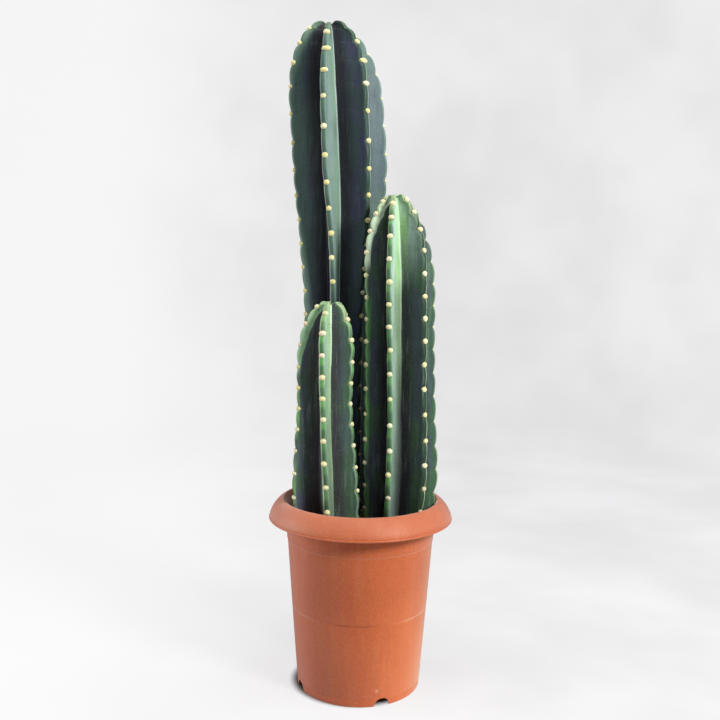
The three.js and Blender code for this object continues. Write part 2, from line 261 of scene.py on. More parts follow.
class Shader:
    """The node tree of one material, made node by node."""

    def __init__(self, name: str) -> None:
        """Starts an empty material.

        Args:
            name: The material's name.
        """
        self.material = bpy.data.materials.new(name)
        self.material.use_nodes = True
        self.tree = self.material.node_tree
        self.tree.nodes.clear()
        self.output = self.tree.nodes.new("ShaderNodeOutputMaterial")

    def node(
        self, kind: str, inputs: Mapping[str | int, Value] | None = None, **settings: str
    ) -> bpy.types.Node:
        """Adds a node.

        Args:
            kind: The node's type, without the words that every type starts with.
            inputs: What its sockets take, by name or number: a link or a constant.
            settings: The node's own settings.

        Returns:
            The node.
        """
        node = self.tree.nodes.new("ShaderNode" + kind)
        for name, setting in settings.items():
            setattr(node, name, setting)
        for key, value in (inputs or {}).items():
            socket = node.inputs[key]
            if isinstance(value, Socket):
                self.tree.links.new(value, socket)
            elif socket.type == "RGBA":
                socket.default_value = (*value, 1.0)
            else:
                socket.default_value = value
        return node

    def finish(self, node: bpy.types.Node) -> bpy.types.Material:
        """Ends the material with a surface's node, and returns it."""
        self.tree.links.new(node.outputs[0], self.output.inputs["Surface"])
        return self.material

    def place(self) -> Socket:
        """The place on the piece, in metres."""
        return self.node("TexCoord").outputs["Object"]

    def along(self, axis: str) -> Socket:
        """The place's coordinate along X, Y or Z, in metres."""
        return self.node("SeparateXYZ", {0: self.place()}).outputs[axis]

    def away(self, point: Triple) -> Socket:
        """How far the place is from a point, in metres."""
        node = self.node("VectorMath", {0: self.place(), 1: Vector(point)}, operation="DISTANCE")
        return node.outputs["Value"]

    def attribute(self, name: str) -> Socket:
        """A number that the mesh holds at each of its points."""
        return self.node("Attribute", attribute_type="GEOMETRY", attribute_name=name).outputs["Fac"]

    def noise(
        self, grain: float, detail: float, roughness: float = 0.5, stretch: Triple = (1, 1, 1)
    ) -> Socket:
        """Cloudy noise.

        Args:
            grain: The size of its clouds, in millimetres.
            detail: How many finer layers it has.
            roughness: How strong the finer layers are.
            stretch: The share of its frequency along each axis.

        Returns:
            The noise's number, about 0.5 on average.
        """
        scale = Vector([share / (grain * MM) for share in stretch])
        place = self.node("Mapping", {"Vector": self.place(), "Scale": scale}).outputs[0]
        inputs = {"Vector": place, "Scale": 1.0, "Detail": detail, "Roughness": roughness}
        return self.node("TexNoise", inputs).outputs[0]

    def band(self, value: Value, start: float, end: float, high: float = 1.0, low: float = 0.0) -> Socket:
        """A number's smooth way from low, where value is at start, to high, where it is at end."""
        inputs = {"Value": value, "From Min": start, "From Max": end, "To Min": low, "To Max": high}
        return self.node("MapRange", inputs, interpolation_type="SMOOTHSTEP").outputs[0]

    def maths(self, what: Maths, first: Value, second: Value = 0.0) -> Socket:
        """One sum of two numbers."""
        return self.node("Math", {0: first, 1: second}, operation=what.value).outputs[0]

    def times(self, *values: Value) -> Value:
        """The product of several numbers.

        Args:
            values: The numbers, with one of them or more.

        Returns:
            The product.
        """
        product = values[0]
        for value in values[1:]:
            product = self.maths(Maths.MULTIPLY, product, value)
        return product

    def off(self, value: Value, middle: float) -> Socket:
        """How far a number is from a middle one, to either side."""
        return self.maths(Maths.ABSOLUTE, self.maths(Maths.SUBTRACT, value, middle))

    def coated(self, colour: Value, *coats: tuple[Value, Value]) -> Value:
        """A colour under coats of others.

        Args:
            colour: The colour at the bottom.
            coats: Each coat's share and its colour, with the top one last.

        Returns:
            The colour that shows.
        """
        for share, over in coats:
            colour = self.node("Mix", {0: share, 6: colour, 7: over}, data_type="RGBA").outputs[2]
        return colour

    def bump(self, height: Value, depth: float, **over: Value) -> Socket:
        """The normal of a surface that a height of 1 raises by a depth in millimetres."""
        return self.node("Bump", {"Height": height, "Distance": depth * MM, **over}).outputs[0]

    def surface(self, **inputs: Value) -> bpy.types.Material:
        """Ends the material with a surface, whose inputs' names have low lines in place of spaces."""
        plain = {name.replace("_", " "): value for name, value in inputs.items()}
        return self.finish(self.node("BsdfPrincipled", plain))


@dataclass(frozen=True)
class PotPlastic:
    """Matte, finely grained moulded plastic in the colour of terracotta.

    The belt, the ring and the rim are heights, with pale wear on the ring and a paler rim. In the
    belt's groove a shade is painted in front of its middle and a highlight at the sides, and a small
    scuff lies beside a notch.
    """

    clay: Triple = (0.55, 0.108, 0.022)
    pale: Triple = (0.62, 0.19, 0.075)
    dark: Triple = (0.43, 0.068, 0.012)
    # Dust and wear, and also the painted highlight in the belt's groove
    dust_and_highlight: Triple = (0.62, 0.36, 0.25)
    # The colour of the painted shade in the belt's groove
    groove_shade: Triple = (0.3, 0.045, 0.012)
    roughness: float = 0.56
    belt: float = 0.1077
    ring: float = 0.1956
    rim: Point = (0.222, 0.232)
    middle: float = -0.006
    # Along X from the middle: where the belt's painted shade fades and its painted highlight grows, in
    # metres
    groove_shade_span: Point = (0.04, 0.015)
    groove_highlight_span: Point = (0.04, 0.085)
    scuff: Triple = (0.0235, -0.0785, 0.021)

    def material(self) -> bpy.types.Material:
        """Builds the finish.

        Returns:
            The material.
        """
        shader = Shader("pot_plastic")
        clouds = shader.noise(70, detail=3)
        streaks = shader.noise(14, detail=2, stretch=(1, 1, 0.12))
        grain = shader.noise(1.7, detail=3, roughness=0.75)
        scuffs = shader.noise(6, detail=5, roughness=0.75)
        patches = shader.noise(45, detail=1)
        height = shader.along("Z")
        aside = shader.off(shader.along("X"), self.middle)

        worn = shader.times(shader.band(scuffs, 0.62, 0.74), shader.band(patches, 0.5, 0.7, 0.5))
        mark = shader.band(shader.away(self.scuff), 0.0036, 0.001, 0.5)
        wear = shader.band(shader.off(height, self.ring), 0.0018, 0.0003, 0.12)
        line = shader.band(shader.off(height, self.belt), 0.0019, 0.0005)
        line = shader.times(line, shader.band(streaks, 0.3, 0.55, low=0.4))
        colour = shader.coated(
            self.clay,
            (shader.band(clouds, 0.35, 0.7, 0.45), self.dark),
            (shader.band(streaks, 0.45, 0.75, 0.22), self.pale),
            (shader.band(grain, 0.48, 0.72, 0.6), self.pale),
            (shader.band(grain, 0.5, 0.28, 0.7), self.dark),
            (worn, self.dust_and_highlight),
            (shader.times(mark, shader.band(scuffs, 0.4, 0.55)), self.dust_and_highlight),
            (shader.times(wear, shader.band(clouds, 0.3, 0.6, low=0.3)), self.dust_and_highlight),
            # Painted shade in the belt's groove in front of its middle, and a painted highlight in it at
            # the sides
            (shader.times(line, shader.band(aside, *self.groove_shade_span, 0.6)), self.groove_shade),
            (shader.times(line, shader.band(aside, *self.groove_highlight_span, 0.6)), self.dust_and_highlight),
            (shader.band(height, *self.rim, 0.14), self.dust_and_highlight),
        )
        return shader.surface(
            Base_Color=colour,
            Roughness=shader.band(clouds, 0.3, 0.7, self.roughness + 0.06, self.roughness - 0.06),
            Specular_IOR_Level=0.4,
            Sheen_Weight=0.5,
            Sheen_Roughness=0.5,
            Normal=shader.bump(grain, 0.09),
        )


@dataclass(frozen=True)
class CactusSkin:
    """Waxy skin: dark flanks with painted shade towards the grooves, greener crests, a pale bloom, and
    fine painted highlights along its corners.

    Near the tip the flanks are darker by hood, and the crests younger by youth. From a given depth
    the crests grow darker towards the soil, as painted shade of a given strength. Depths are in
    millimetres.
    """

    name: str
    deep: Triple
    flank: Triple
    tint: Triple
    crest: Triple
    sprout_and_painted_light: Triple
    bloom: Triple
    fresh: Triple
    edge: Triple
    shaded: Triple
    painted_lit_band: Triple = (0.34, 0.58, 0.33)
    young: Triple = (0.4, 0.54, 0.28)
    youth: float = 0.7
    hood: float = 0.0
    painted_shade_depth: float = 300
    painted_shade: float = 0.35
    painted_shade_reach: float = 130
    roughness: float = 0.5

    def material(self) -> bpy.types.Material:
        """Builds the finish.

        Returns:
            The material.
        """
        shader = Shader(self.name)
        flank, rise, gap, steps, depth, green, wax_and_painted_light, line, seam, strip = map(shader.attribute, SKIN_NUMBERS)
        clouds = shader.noise(42, detail=3, stretch=(1, 1, 0.4))
        patches = shader.noise(24, detail=2, stretch=(1, 1, 0.5))
        streaks = shader.noise(3.4, detail=3, stretch=(1, 1, 0.08))
        ribbons = shader.noise(7, detail=2, stretch=(1, 1, 0.04))
        speckle = shader.noise(1.6, detail=2, roughness=0.7)
        tints = shader.noise(26, detail=3, stretch=(1, 1, 0.45))

        # The flanks with painted shade towards the grooves, the crests with a greener part under each
        # areole, and the bloom
        verdant = shader.times(shader.band(flank, 0.7, 0.1), shader.band(green, 0.6, 1.0, 0.5))
        side = shader.coated(
            self.flank,
            (shader.band(tints, 0.4, 0.58), self.tint),
            (shader.band(depth, 50, 8, self.hood), self.shaded),
            (verdant, self.crest),
            # Painted shade: the flanks grow darker towards the grooves
            (shader.band(flank, 0.22, 0.8, 0.92), self.deep),
        )
        below = shader.band(shader.off(shader.maths(Maths.FRACTION, steps), 0.24), 0.3, 0.1)
        crest = shader.coated(
            self.crest,
            (shader.times(below, shader.band(patches, 0.3, 0.55, low=0.3)), self.sprout_and_painted_light),
            # Painted shade on the crests whose green is under 0
            (shader.band(green, 0.0, -0.3), self.shaded),
            # Painted shade: the crests grow darker towards the soil
            (shader.band(depth, self.painted_shade_depth, self.painted_shade_depth + self.painted_shade_reach, self.painted_shade), self.shaded),
        )
        fresh = shader.band(ribbons, 0.4, 0.66, 0.6)
        fresh = shader.maths(Maths.ADD, fresh, shader.band(flank, 0.3, 0.8, 0.5))
        fresh = shader.times(fresh, shader.band(depth, 380, 160, low=0.3))
        bloom = shader.coated(self.bloom, (fresh, self.fresh))

        # Where each of them lies, with a painted band of light beside a left crest, and under it a patchy
        # green strip of painted light
        near_crest = shader.times(shader.band(rise, 1.5, -1.0), shader.off(green, 0.0))
        cloudy = shader.times(wax_and_painted_light, shader.band(clouds, 0.3, 0.7, 0.25, low=-0.35))
        waxed_and_painted_light = shader.maths(Maths.ADD, wax_and_painted_light, cloudy)
        inside = shader.band(shader.maths(Maths.SUBTRACT, strip, rise), -0.7, 0.7)
        # Painted light: a band of light beside the crest near the tip, with a painted shadow's straight
        # edge
        painted_lit_band_share = shader.times(inside, shader.band(depth, 100, 78))
        # Painted light: a patchy green strip along the crest's edge below the band
        painted_lit_strip = shader.times(inside, shader.band(depth, 90, 130), shader.band(patches, 0.36, 0.6, 0.95))

        # Faint arched lines of painted shade in the creases over the flanks, the young tip, the painted
        # highlights along the corners and the grooves, and the grains of bloom
        sweep = shader.maths(Maths.ADD, steps, shader.times(flank, 0.35))
        arcs = shader.off(shader.maths(Maths.FRACTION, sweep), 0.5)
        painted_crease_shade = shader.times(shader.band(arcs, 0.4, 0.5), shader.band(flank, 0.8, 0.1), 0.12)
        youth = shader.times(shader.band(depth, 42, 2), shader.band(flank, 0.4, 0.05), self.youth)
        # Painted highlights: fine pale lines along the crests' edges and along the grooves, weaker in
        # patches
        worn = shader.band(patches, 0.3, 0.6, low=0.35)
        corner = shader.times(shader.band(shader.off(rise, -0.2), 2.0, 1.0), line, worn)
        groove = shader.times(shader.band(gap, 3.0, 1.0), seam, worn)
        grains = shader.times(shader.band(speckle, 0.5, 0.85), shader.band(waxed_and_painted_light, 0.0, 0.4, 0.28, low=0.1))
        colour = shader.coated(
            side,
            (near_crest, crest),
            (waxed_and_painted_light, bloom),
            (painted_lit_band_share, self.painted_lit_band),
            (painted_lit_strip, self.sprout_and_painted_light),
            (shader.band(streaks, 0.52, 0.8, 0.14), self.bloom),
            (shader.band(streaks, 0.48, 0.2, 0.28), self.deep),
            (painted_crease_shade, self.deep),
            (youth, self.young),
            (corner, self.edge),
            (groove, self.edge),
            (grains, self.bloom),
            (shader.band(speckle, 0.5, 0.15, 0.45), self.deep),
        )
        return shader.surface(
            Base_Color=colour,
            Roughness=shader.band(clouds, 0.3, 0.7, self.roughness + 0.1, self.roughness - 0.08),
            Specular_IOR_Level=0.2,
            Normal=shader.bump(speckle, 0.1, Normal=shader.bump(streaks, 0.1)),
        )


class Tone(Enum):
    """The skin's three tones, one for each stem's age."""

    OLD = CactusSkin(
        name="skin_old",
        deep=(0.0155, 0.009, 0.0175),
        flank=(0.068, 0.098, 0.108),
        tint=(0.077, 0.078, 0.15),
        crest=(0.08, 0.185, 0.1),
        sprout_and_painted_light=(0.1, 0.235, 0.1),
        bloom=(0.25, 0.35, 0.34),
        fresh=(0.185, 0.32, 0.2),
        edge=(0.46, 0.56, 0.55),
        shaded=(0.022, 0.062, 0.03),
        youth=0.15,
        hood=0.75,
    )
    GROWN = CactusSkin(
        name="skin_grown",
        deep=(0.012, 0.0085, 0.013),
        flank=(0.056, 0.12, 0.066),
        tint=(0.058, 0.076, 0.1),
        crest=(0.055, 0.165, 0.066),
        sprout_and_painted_light=(0.11, 0.31, 0.085),
        bloom=(0.55, 0.72, 0.66),
        fresh=(0.35, 0.64, 0.26),
        edge=(0.7, 0.82, 0.56),
        shaded=(0.015, 0.046, 0.02),
        painted_lit_band=(0.56, 0.72, 0.52),
    )
    YOUNG = CactusSkin(
        name="skin_young",
        deep=(0.028, 0.018, 0.03),
        flank=(0.06, 0.102, 0.074),
        tint=(0.072, 0.08, 0.135),
        crest=(0.075, 0.2, 0.076),
        sprout_and_painted_light=(0.14, 0.38, 0.1),
        bloom=(0.6, 0.84, 0.66),
        fresh=(0.46, 0.8, 0.36),
        edge=(0.78, 0.9, 0.74),
        shaded=(0.012, 0.038, 0.017),
        painted_shade_depth=110,
        painted_shade=0.55,
    )


@dataclass(frozen=True)
class AreoleFelt:
    """Short felt, pinker on the young cushions near a tip, and greyer on the oldest ones, partly as worn
    felt and partly as painted shade. One side of each cushion has painted shade in brown.
    """

    name: str
    cream: Triple
    pale: Triple = (0.87, 0.84, 0.56)
    pink: Triple = (0.86, 0.68, 0.52)
    brown_and_shade: Triple = (0.2, 0.11, 0.06)
    worn: Triple = (0.3, 0.24, 0.2)

    def material(self) -> bpy.types.Material:
        """Builds the finish.

        Returns:
            The material.
        """
        shader = Shader(self.name)
        fibres = shader.noise(0.7, detail=3, roughness=0.7)
        kinds = shader.noise(48, detail=1)
        young = shader.times(shader.attribute("youth"), shader.band(kinds, 0.35, 0.6, 0.65, low=0.1))
        colour = shader.coated(
            self.cream,
            (shader.band(kinds, 0.46, 0.66), self.pale),
            (young, self.pink),
            # The oldest, lowest cushions turn greyer: partly worn felt, partly painted shade
            (shader.times(shader.attribute("age"), 0.8), self.worn),
            (shader.band(fibres, 0.45, 0.2, 0.45), self.brown_and_shade),
            # Painted shade on one side of each cushion
            (shader.times(shader.attribute("hollow"), 0.75), self.brown_and_shade),
        )
        return shader.surface(
            Base_Color=colour,
            Roughness=0.95,
            Specular_IOR_Level=0.15,
            Sheen_Weight=0.35,
            Sheen_Roughness=0.6,
            Normal=shader.bump(fibres, 0.35),
        )


class Felt(Enum):
    """The two tones of felt: yellow on the old stem, and cream on the others."""

    YELLOW = AreoleFelt(name="felt_yellow", cream=(0.85, 0.78, 0.33))
    CREAM = AreoleFelt(name="felt_cream", cream=(0.84, 0.8, 0.42))


@dataclass(frozen=True)
class PottingMix:
    """Dark, crumbly potting mix with fibres and paler crumbs."""

    name: str
    gritty: float
    peat: Triple = (0.03, 0.018, 0.011)
    bark: Triple = (0.1, 0.055, 0.03)
    grit: Triple = (0.2, 0.16, 0.12)

    def material(self) -> bpy.types.Material:
        """Builds the finish.

        Returns:
            The material.
        """
        shader = Shader(self.name)
        crumbs = shader.noise(3.0, detail=4, roughness=0.7)
        kinds = shader.noise(7, detail=1)
        start = 0.62 - self.gritty * 0.3
        colour = shader.coated(
            self.peat,
            (shader.band(crumbs, 0.4, 0.7), self.bark),
            (shader.band(kinds, start, start + 0.1, 0.8), self.grit),
        )
        return shader.surface(
            Base_Color=colour,
            Roughness=0.95,
            Specular_IOR_Level=0.2,
            Normal=shader.bump(crumbs, 0.8),
        )


# The pot


@dataclass(frozen=True)
class Pot:
    """A tapered container pot with a rolled, overhanging rim and notches in its foot."""

    wall: float = 2.6
    foot_radius: float = 80.4
    foot_wall: float = 3.4
    foot_rounding: float = 1.2
    floor_height: float = 11
    floor_rounding: float = 4
    belt_height: float = 107.7
    belt_radius: float = 88.6
    belt_depth: float = 0.25
    belt_half_width: float = 2.0
    belt_steps: int = 8
    sole_height: float = 9
    sole_depth: float = 0.3
    ring_height: float = 195
    ring_step: float = 0.6
    ring_width: float = 1.2
    lip_height: float = 222.4
    lip_band: float = 2.4
    neck_radius: float = 96.8
    rim_radius: float = 119.5
    crown_radius: float = 100.6
    height: float = 248
    mouth_radius: float = 98.7
    mouth_drop: float = 1.6
    throat_drop: float = 4.8
    throat_flare: float = 0.6
    bead_inset: float = 0.7
    rim_lean: float = 1.33
    notch_radius: float = 10.5
    notch_length: float = 17
    notch_turn: float = 22
    notches: int = 4
    drain_radius: float = 6
    drain_length: float = 7.8
    drain_circle: float = 50
    drains: int = 6
    round_steps: int = 160
    sharp_angle: float = 38

    @property
    def lip_top(self) -> float:
        """The height where the lip's band ends and the rim starts to round."""
        return self.lip_height + self.lip_band

    def wall_radius(self, height: float) -> float:
        """The radius of the wall's outside, which tapers in two straight stretches.

        Args:
            height: The height over the surface that the pot stands on.

        Returns:
            The radius.
        """
        if height < self.belt_height:
            return lerp(self.foot_radius, self.belt_radius, height / self.belt_height)
        share = (height - self.belt_height) / (self.lip_height - self.belt_height)
        return lerp(self.belt_radius, self.neck_radius, share)

    def inside_radius(self, height: float) -> float:
        """The radius of the wall's inside."""
        return self.wall_radius(height) - self.wall

    def on_wall(self, *stands: Point) -> list[Point]:
        """Points of the wall's profile, each from a height and how far the wall stands out there."""
        return [(self.wall_radius(height) + out, height) for height, out in stands]

    def foot(self) -> list[Point]:
        """The profile of the foot ring, with its rounded outer edge and the faint line over it.

        Returns:
            The points, from the ring's inner edge upwards.
        """
        rounding, sole, depth = self.foot_rounding, self.sole_height, self.sole_depth
        return [
            (self.foot_radius - self.foot_wall, 0.0),
            *arc((self.foot_radius - rounding, rounding), rounding, rounding, (-90, 0), 4),
            *self.on_wall((sole - 1, -depth * 0.1), (sole, -depth), (sole + 1, -depth * 0.1)),
        ]

    def belt(self) -> list[Point]:
        """The profile of the fine rounded groove half way up the wall.

        Returns:
            The points, from the groove's lower edge upwards.
        """
        shares = [i / self.belt_steps for i in range(self.belt_steps + 1)]
        low, width = self.belt_height - self.belt_half_width, 2 * self.belt_half_width
        depths = [self.belt_depth * math.sin(math.pi * share) ** 2 for share in shares]
        return self.on_wall(*((low + width * share, -depth) for share, depth in zip(shares, depths)))

    def collar(self) -> list[Point]:
        """The profile of the faint step under the rim, and of the wall above it.

        Returns:
            The points, from under the step upwards.
        """
        low, step, top = self.ring_height, self.ring_step, self.lip_top
        return self.on_wall(
            (low - 1, 0),
            (low, step * 0.12),
            (low + self.ring_width / 2, step * 0.7),
            (low + self.ring_width, step),
            (top - 6, step),
            (top, step),
        )

    def rim(self) -> list[Point]:
        """The profile of the rim: its hollow underside, its lip's bead, its crown and its mouth.

        Returns:
            The points, from the wall out to the lip and over the crown.
        """
        crown, top = self.crown_radius, self.lip_top
        hollow = self.height - top - self.wall
        inner = crown - self.wall_radius(top) - self.ring_step
        bead = self.lip_band / 2
        face = self.rim_radius - self.bead_inset
        mouth = (crown, self.height - self.mouth_drop)
        return [
            *arc((crown, top), inner, hollow, (160, 90), 8),
            *arc((crown, top), self.rim_radius - crown - self.wall, hollow, (80, 0), 12, self.rim_lean),
            (self.rim_radius - self.wall, self.lip_height + 0.5),
            *arc((self.rim_radius - bead, self.lip_height + bead), bead, bead, (-120, 50), 10),
            (face - 0.15, top + 0.2),
            *arc((crown, top), face - crown, self.height - top, (4, 90), 26, self.rim_lean),
            *arc(mouth, crown - self.mouth_radius, self.mouth_drop, (100, 180), 6),
        ]

    def inside(self) -> list[Point]:
        """The profile of the pot's inside, its floor and the underside of its floor.

        Returns:
            The points, from the throat down and back to the foot ring.
        """
        throat = self.height - self.throat_drop
        floor = self.floor_height + self.wall
        turn = self.floor_rounding
        return [
            (self.inside_radius(throat) + self.throat_flare, throat),
            (self.inside_radius(self.lip_top), self.lip_top),
            (self.inside_radius(self.belt_height), self.belt_height),
            *arc((self.inside_radius(floor) - turn, floor + turn), turn, turn, (0, -90), 5),
            (0.0, floor),
            (0.0, self.floor_height),
            (self.wall_radius(self.floor_height) - self.foot_wall, self.floor_height),
        ]

    def cutters(self) -> bmesh.types.BMesh:
        """The closed cutters of the foot's notches and of the drain holes.

        Returns:
            All of them in one bmesh, in millimetres.
        """
        bm = bmesh.new()
        across = Matrix.Translation((0, -self.foot_radius, 0)) @ Matrix.Rotation(math.pi / 2, 4, "X")
        for i in range(self.notches):
            turn = Matrix.Rotation(math.radians(self.notch_turn + 360 / self.notches * i), 4, "Z")
            rod(bm, self.notch_radius, self.notch_length, 48, turn @ across)
        for i in range(self.drains):
            angle = math.tau * i / self.drains
            middle = Vector((math.sin(angle), math.cos(angle), 0)) * self.drain_circle
            middle.z = self.floor_height + self.wall / 2
            rod(bm, self.drain_radius, self.drain_length, 32, Matrix.Translation(middle))
        return bm

    def build(self) -> None:
        """Builds and dresses the pot."""
        profile = [*self.foot(), *self.belt(), *self.collar(), *self.rim(), *self.inside()]
        pot = piece_of(spun(profile, self.round_steps), "terracotta_pot", PotPlastic().material())
        cut(pot, self.cutters())
        pot.data.set_sharp_from_angle(angle=math.radians(self.sharp_angle))
        dress(pot, Slot.POT, "pot")


# The stems


@dataclass(frozen=True)
class Station:
    """The stem at a height: its axis in x and y, the radius of its crests and its ribs' turn."""

    height: float
    x: float
    y: float
    radius: float
    turn: float


@dataclass(frozen=True)
class Spacing:
    """How far apart a rib's areoles lie, at a depth under the tip."""

    depth: float
    step: float


@dataclass(frozen=True)
class Flank:
    """What one flank of a rib shows.

    It has a pale bloom, which comes a share of the way over the crest, may be paler or darker near
    the tip and may fade towards the groove. The bloom is the skin's wax, and how much of it a flank
    has is painted light: the flanks that face the key light get more. Fine painted highlights lie at
    its crest and at its groove. Beside the crest a painted band of light may run down from the tip to
    a depth, its straight edge a painted shadow, and below that a patchy green strip of painted light
    of a width.
    """

    bloom: float = 0.3
    line: float = 0.3
    seam: float = 0.0
    over: float = 0.6
    tip: float = 0.0
    fade: float = 0.0
    painted_lit_band: float = 0.0
    strip: float = 0.0
    painted_lit_band_width: float = 8.5
    painted_lit_band_taper: float = 0.55

    def band(self, depth: float) -> float:
        """How wide the painted band of light or the painted strip of light is at a depth.

        Args:
            depth: The depth under the tip.

        Returns:
            The width, which is under nothing where there is neither.
        """
        if not self.painted_lit_band:
            return NO_STRIP
        left = clamp((self.painted_lit_band - depth) / (self.painted_lit_band * self.painted_lit_band_taper))
        return max(self.strip, self.painted_lit_band_width * left)


@dataclass(frozen=True)
class Rib:
    """A rib's direction from the front, positive to the right, one areole's depth, and its two flanks.

    Its crest is green, or painted in shade where that is under 0. The groove after it lies a share of
    the way, valley, to the next rib. Its crest may droop at the tip, its first areoles may be bald, its
    direction may bend away at the tip, and its areoles may lie aside of its middle and be smaller.
    """

    angle: float
    areole: float
    left: Flank = Flank()
    right: Flank = Flank()
    green: float = 0.5
    valley: float = 0.5
    droop: float = 0.0
    bald: float = 0.0
    bend: float = 0.0
    bend_reach: float = 260
    aside: float = 0.0
    button: float = 1.0

    def angle_at(self, depth: float) -> float:
        """Its direction at a depth under the tip."""
        return self.angle + self.bend * clamp(1 - depth / self.bend_reach) ** 0.7


@dataclass(frozen=True)
class Dome:
    """The rounding of the tip at a depth: the radius's share, and the surface's way out and up."""

    share: float
    fall: float
    out: float
    up: float


@dataclass(frozen=True)
class RibShape:
    """The section of every rib, the lobes and seats along its crest, and its hollow at the tip."""

    crest_half_width: float = 4
    crest_drop: float = 0.9
    edge_rounding: float = 2.0
    flank_swell: float = 1.6
    flank_lobe: float = 0.45
    notch_depth: float = 1.8
    lobe_height: float = 2.8
    lobe_lean: float = 0.8
    lobe_fullness: float = 0.8
    seat_depth: float = 0.6
    seat_reach: float = 3.4
    knob_depth: float = 34
    knob_reach: float = 26
    knob_width: float = 5
    brim: float = 12
    bowl: float = 9
    lift_reach: float = 10
    droop_reach: float = 9
    groove_share: float = 0.42
    groove_rounding: float = 0.8
    full_size: float = 16
    first_depth: float = 0.4
    sink: float = 4.5
    root_share: float = 0.86
    root_taper: float = 0.8
    root_depth: float = 82
    button_reach: float = 0.14
    edge_limit: float = 0.3
    swell_limit: float = 0.2
    strip_lobe: float = 0.7
    middle_bloom: float = 0.03
    crest_stops: tuple[float, ...] = (0.24, 0.46, 0.64)
    edge_stops: tuple[float, ...] = (0.25, 0.5, 0.75, 1.0)
    flank_stops: tuple[float, ...] = (0.15, 0.29, 0.44, 0.6, 0.75, 0.87, 0.94, 0.98)
    upper_stops: tuple[float, ...] = (0, 0.04, 0.09, 0.15, 0.22, 0.3, 0.39)
    lower_stops: tuple[float, ...] = (0.48, 0.57, 0.66, 0.74, 0.82, 0.89, 0.95)
    tip_rows: int = 9
    foot_rows: int = 6

    def lobe(self, share: float) -> float:
        """How far a crest stands over its notches, a share of the way down from one areole to the next."""
        return self.lobe_height * math.sin(math.pi * share**self.lobe_lean) ** self.lobe_fullness


@dataclass(frozen=True)
class CushionShape:
    """The areoles' cushions: their half sizes and differences, and where they are young and old."""

    aside: Point = (-0.7, 0.7)
    scale: Point = (0.9, 1.1)
    wide: Point = (3.5, 4.0)
    tall: Point = (3.3, 3.8)
    deep: Point = (2.9, 3.4)
    raised: float = 0.5
    swell_reach: float = 24
    young_depth: float = 110
    old_depth: float = 340
    old_reach: float = 120
    old_size: float = 0.75
    lumpiness: float = 0.12
    lump_rate: float = 1.6


@dataclass(frozen=True)
class Spot:
    """A point of a stem's skin, with what its finish reads there."""

    place: Vector
    flank: float
    rise: float
    gap: float
    steps: float
    depth: float
    green: float = 0.0
    wax_and_painted_light: float = 0.0
    line: float = 0.0
    seam: float = 0.0
    strip: float = NO_STRIP


@dataclass(frozen=True)
class Cushion:
    """One areole: its middle, the axes across, up and out of the crest, its half sizes and its age."""

    middle: Vector
    axes: Matrix
    sizes: Vector
    youth: float
    age: float


def wander(place: Vector) -> Vector:
    """Moves a point of a stem by the slow unevenness of something grown.

    Args:
        place: The point.

    Returns:
        Where it goes, at its own height.
    """
    slow = noise.noise_vector(place / SLOW_LENGTH) * SLOW_REACH
    fine = noise.noise_vector(place / FINE_LENGTH + FINE_START) * FINE_REACH
    return place + Vector(((slow + fine).x, (slow + fine).y, 0))


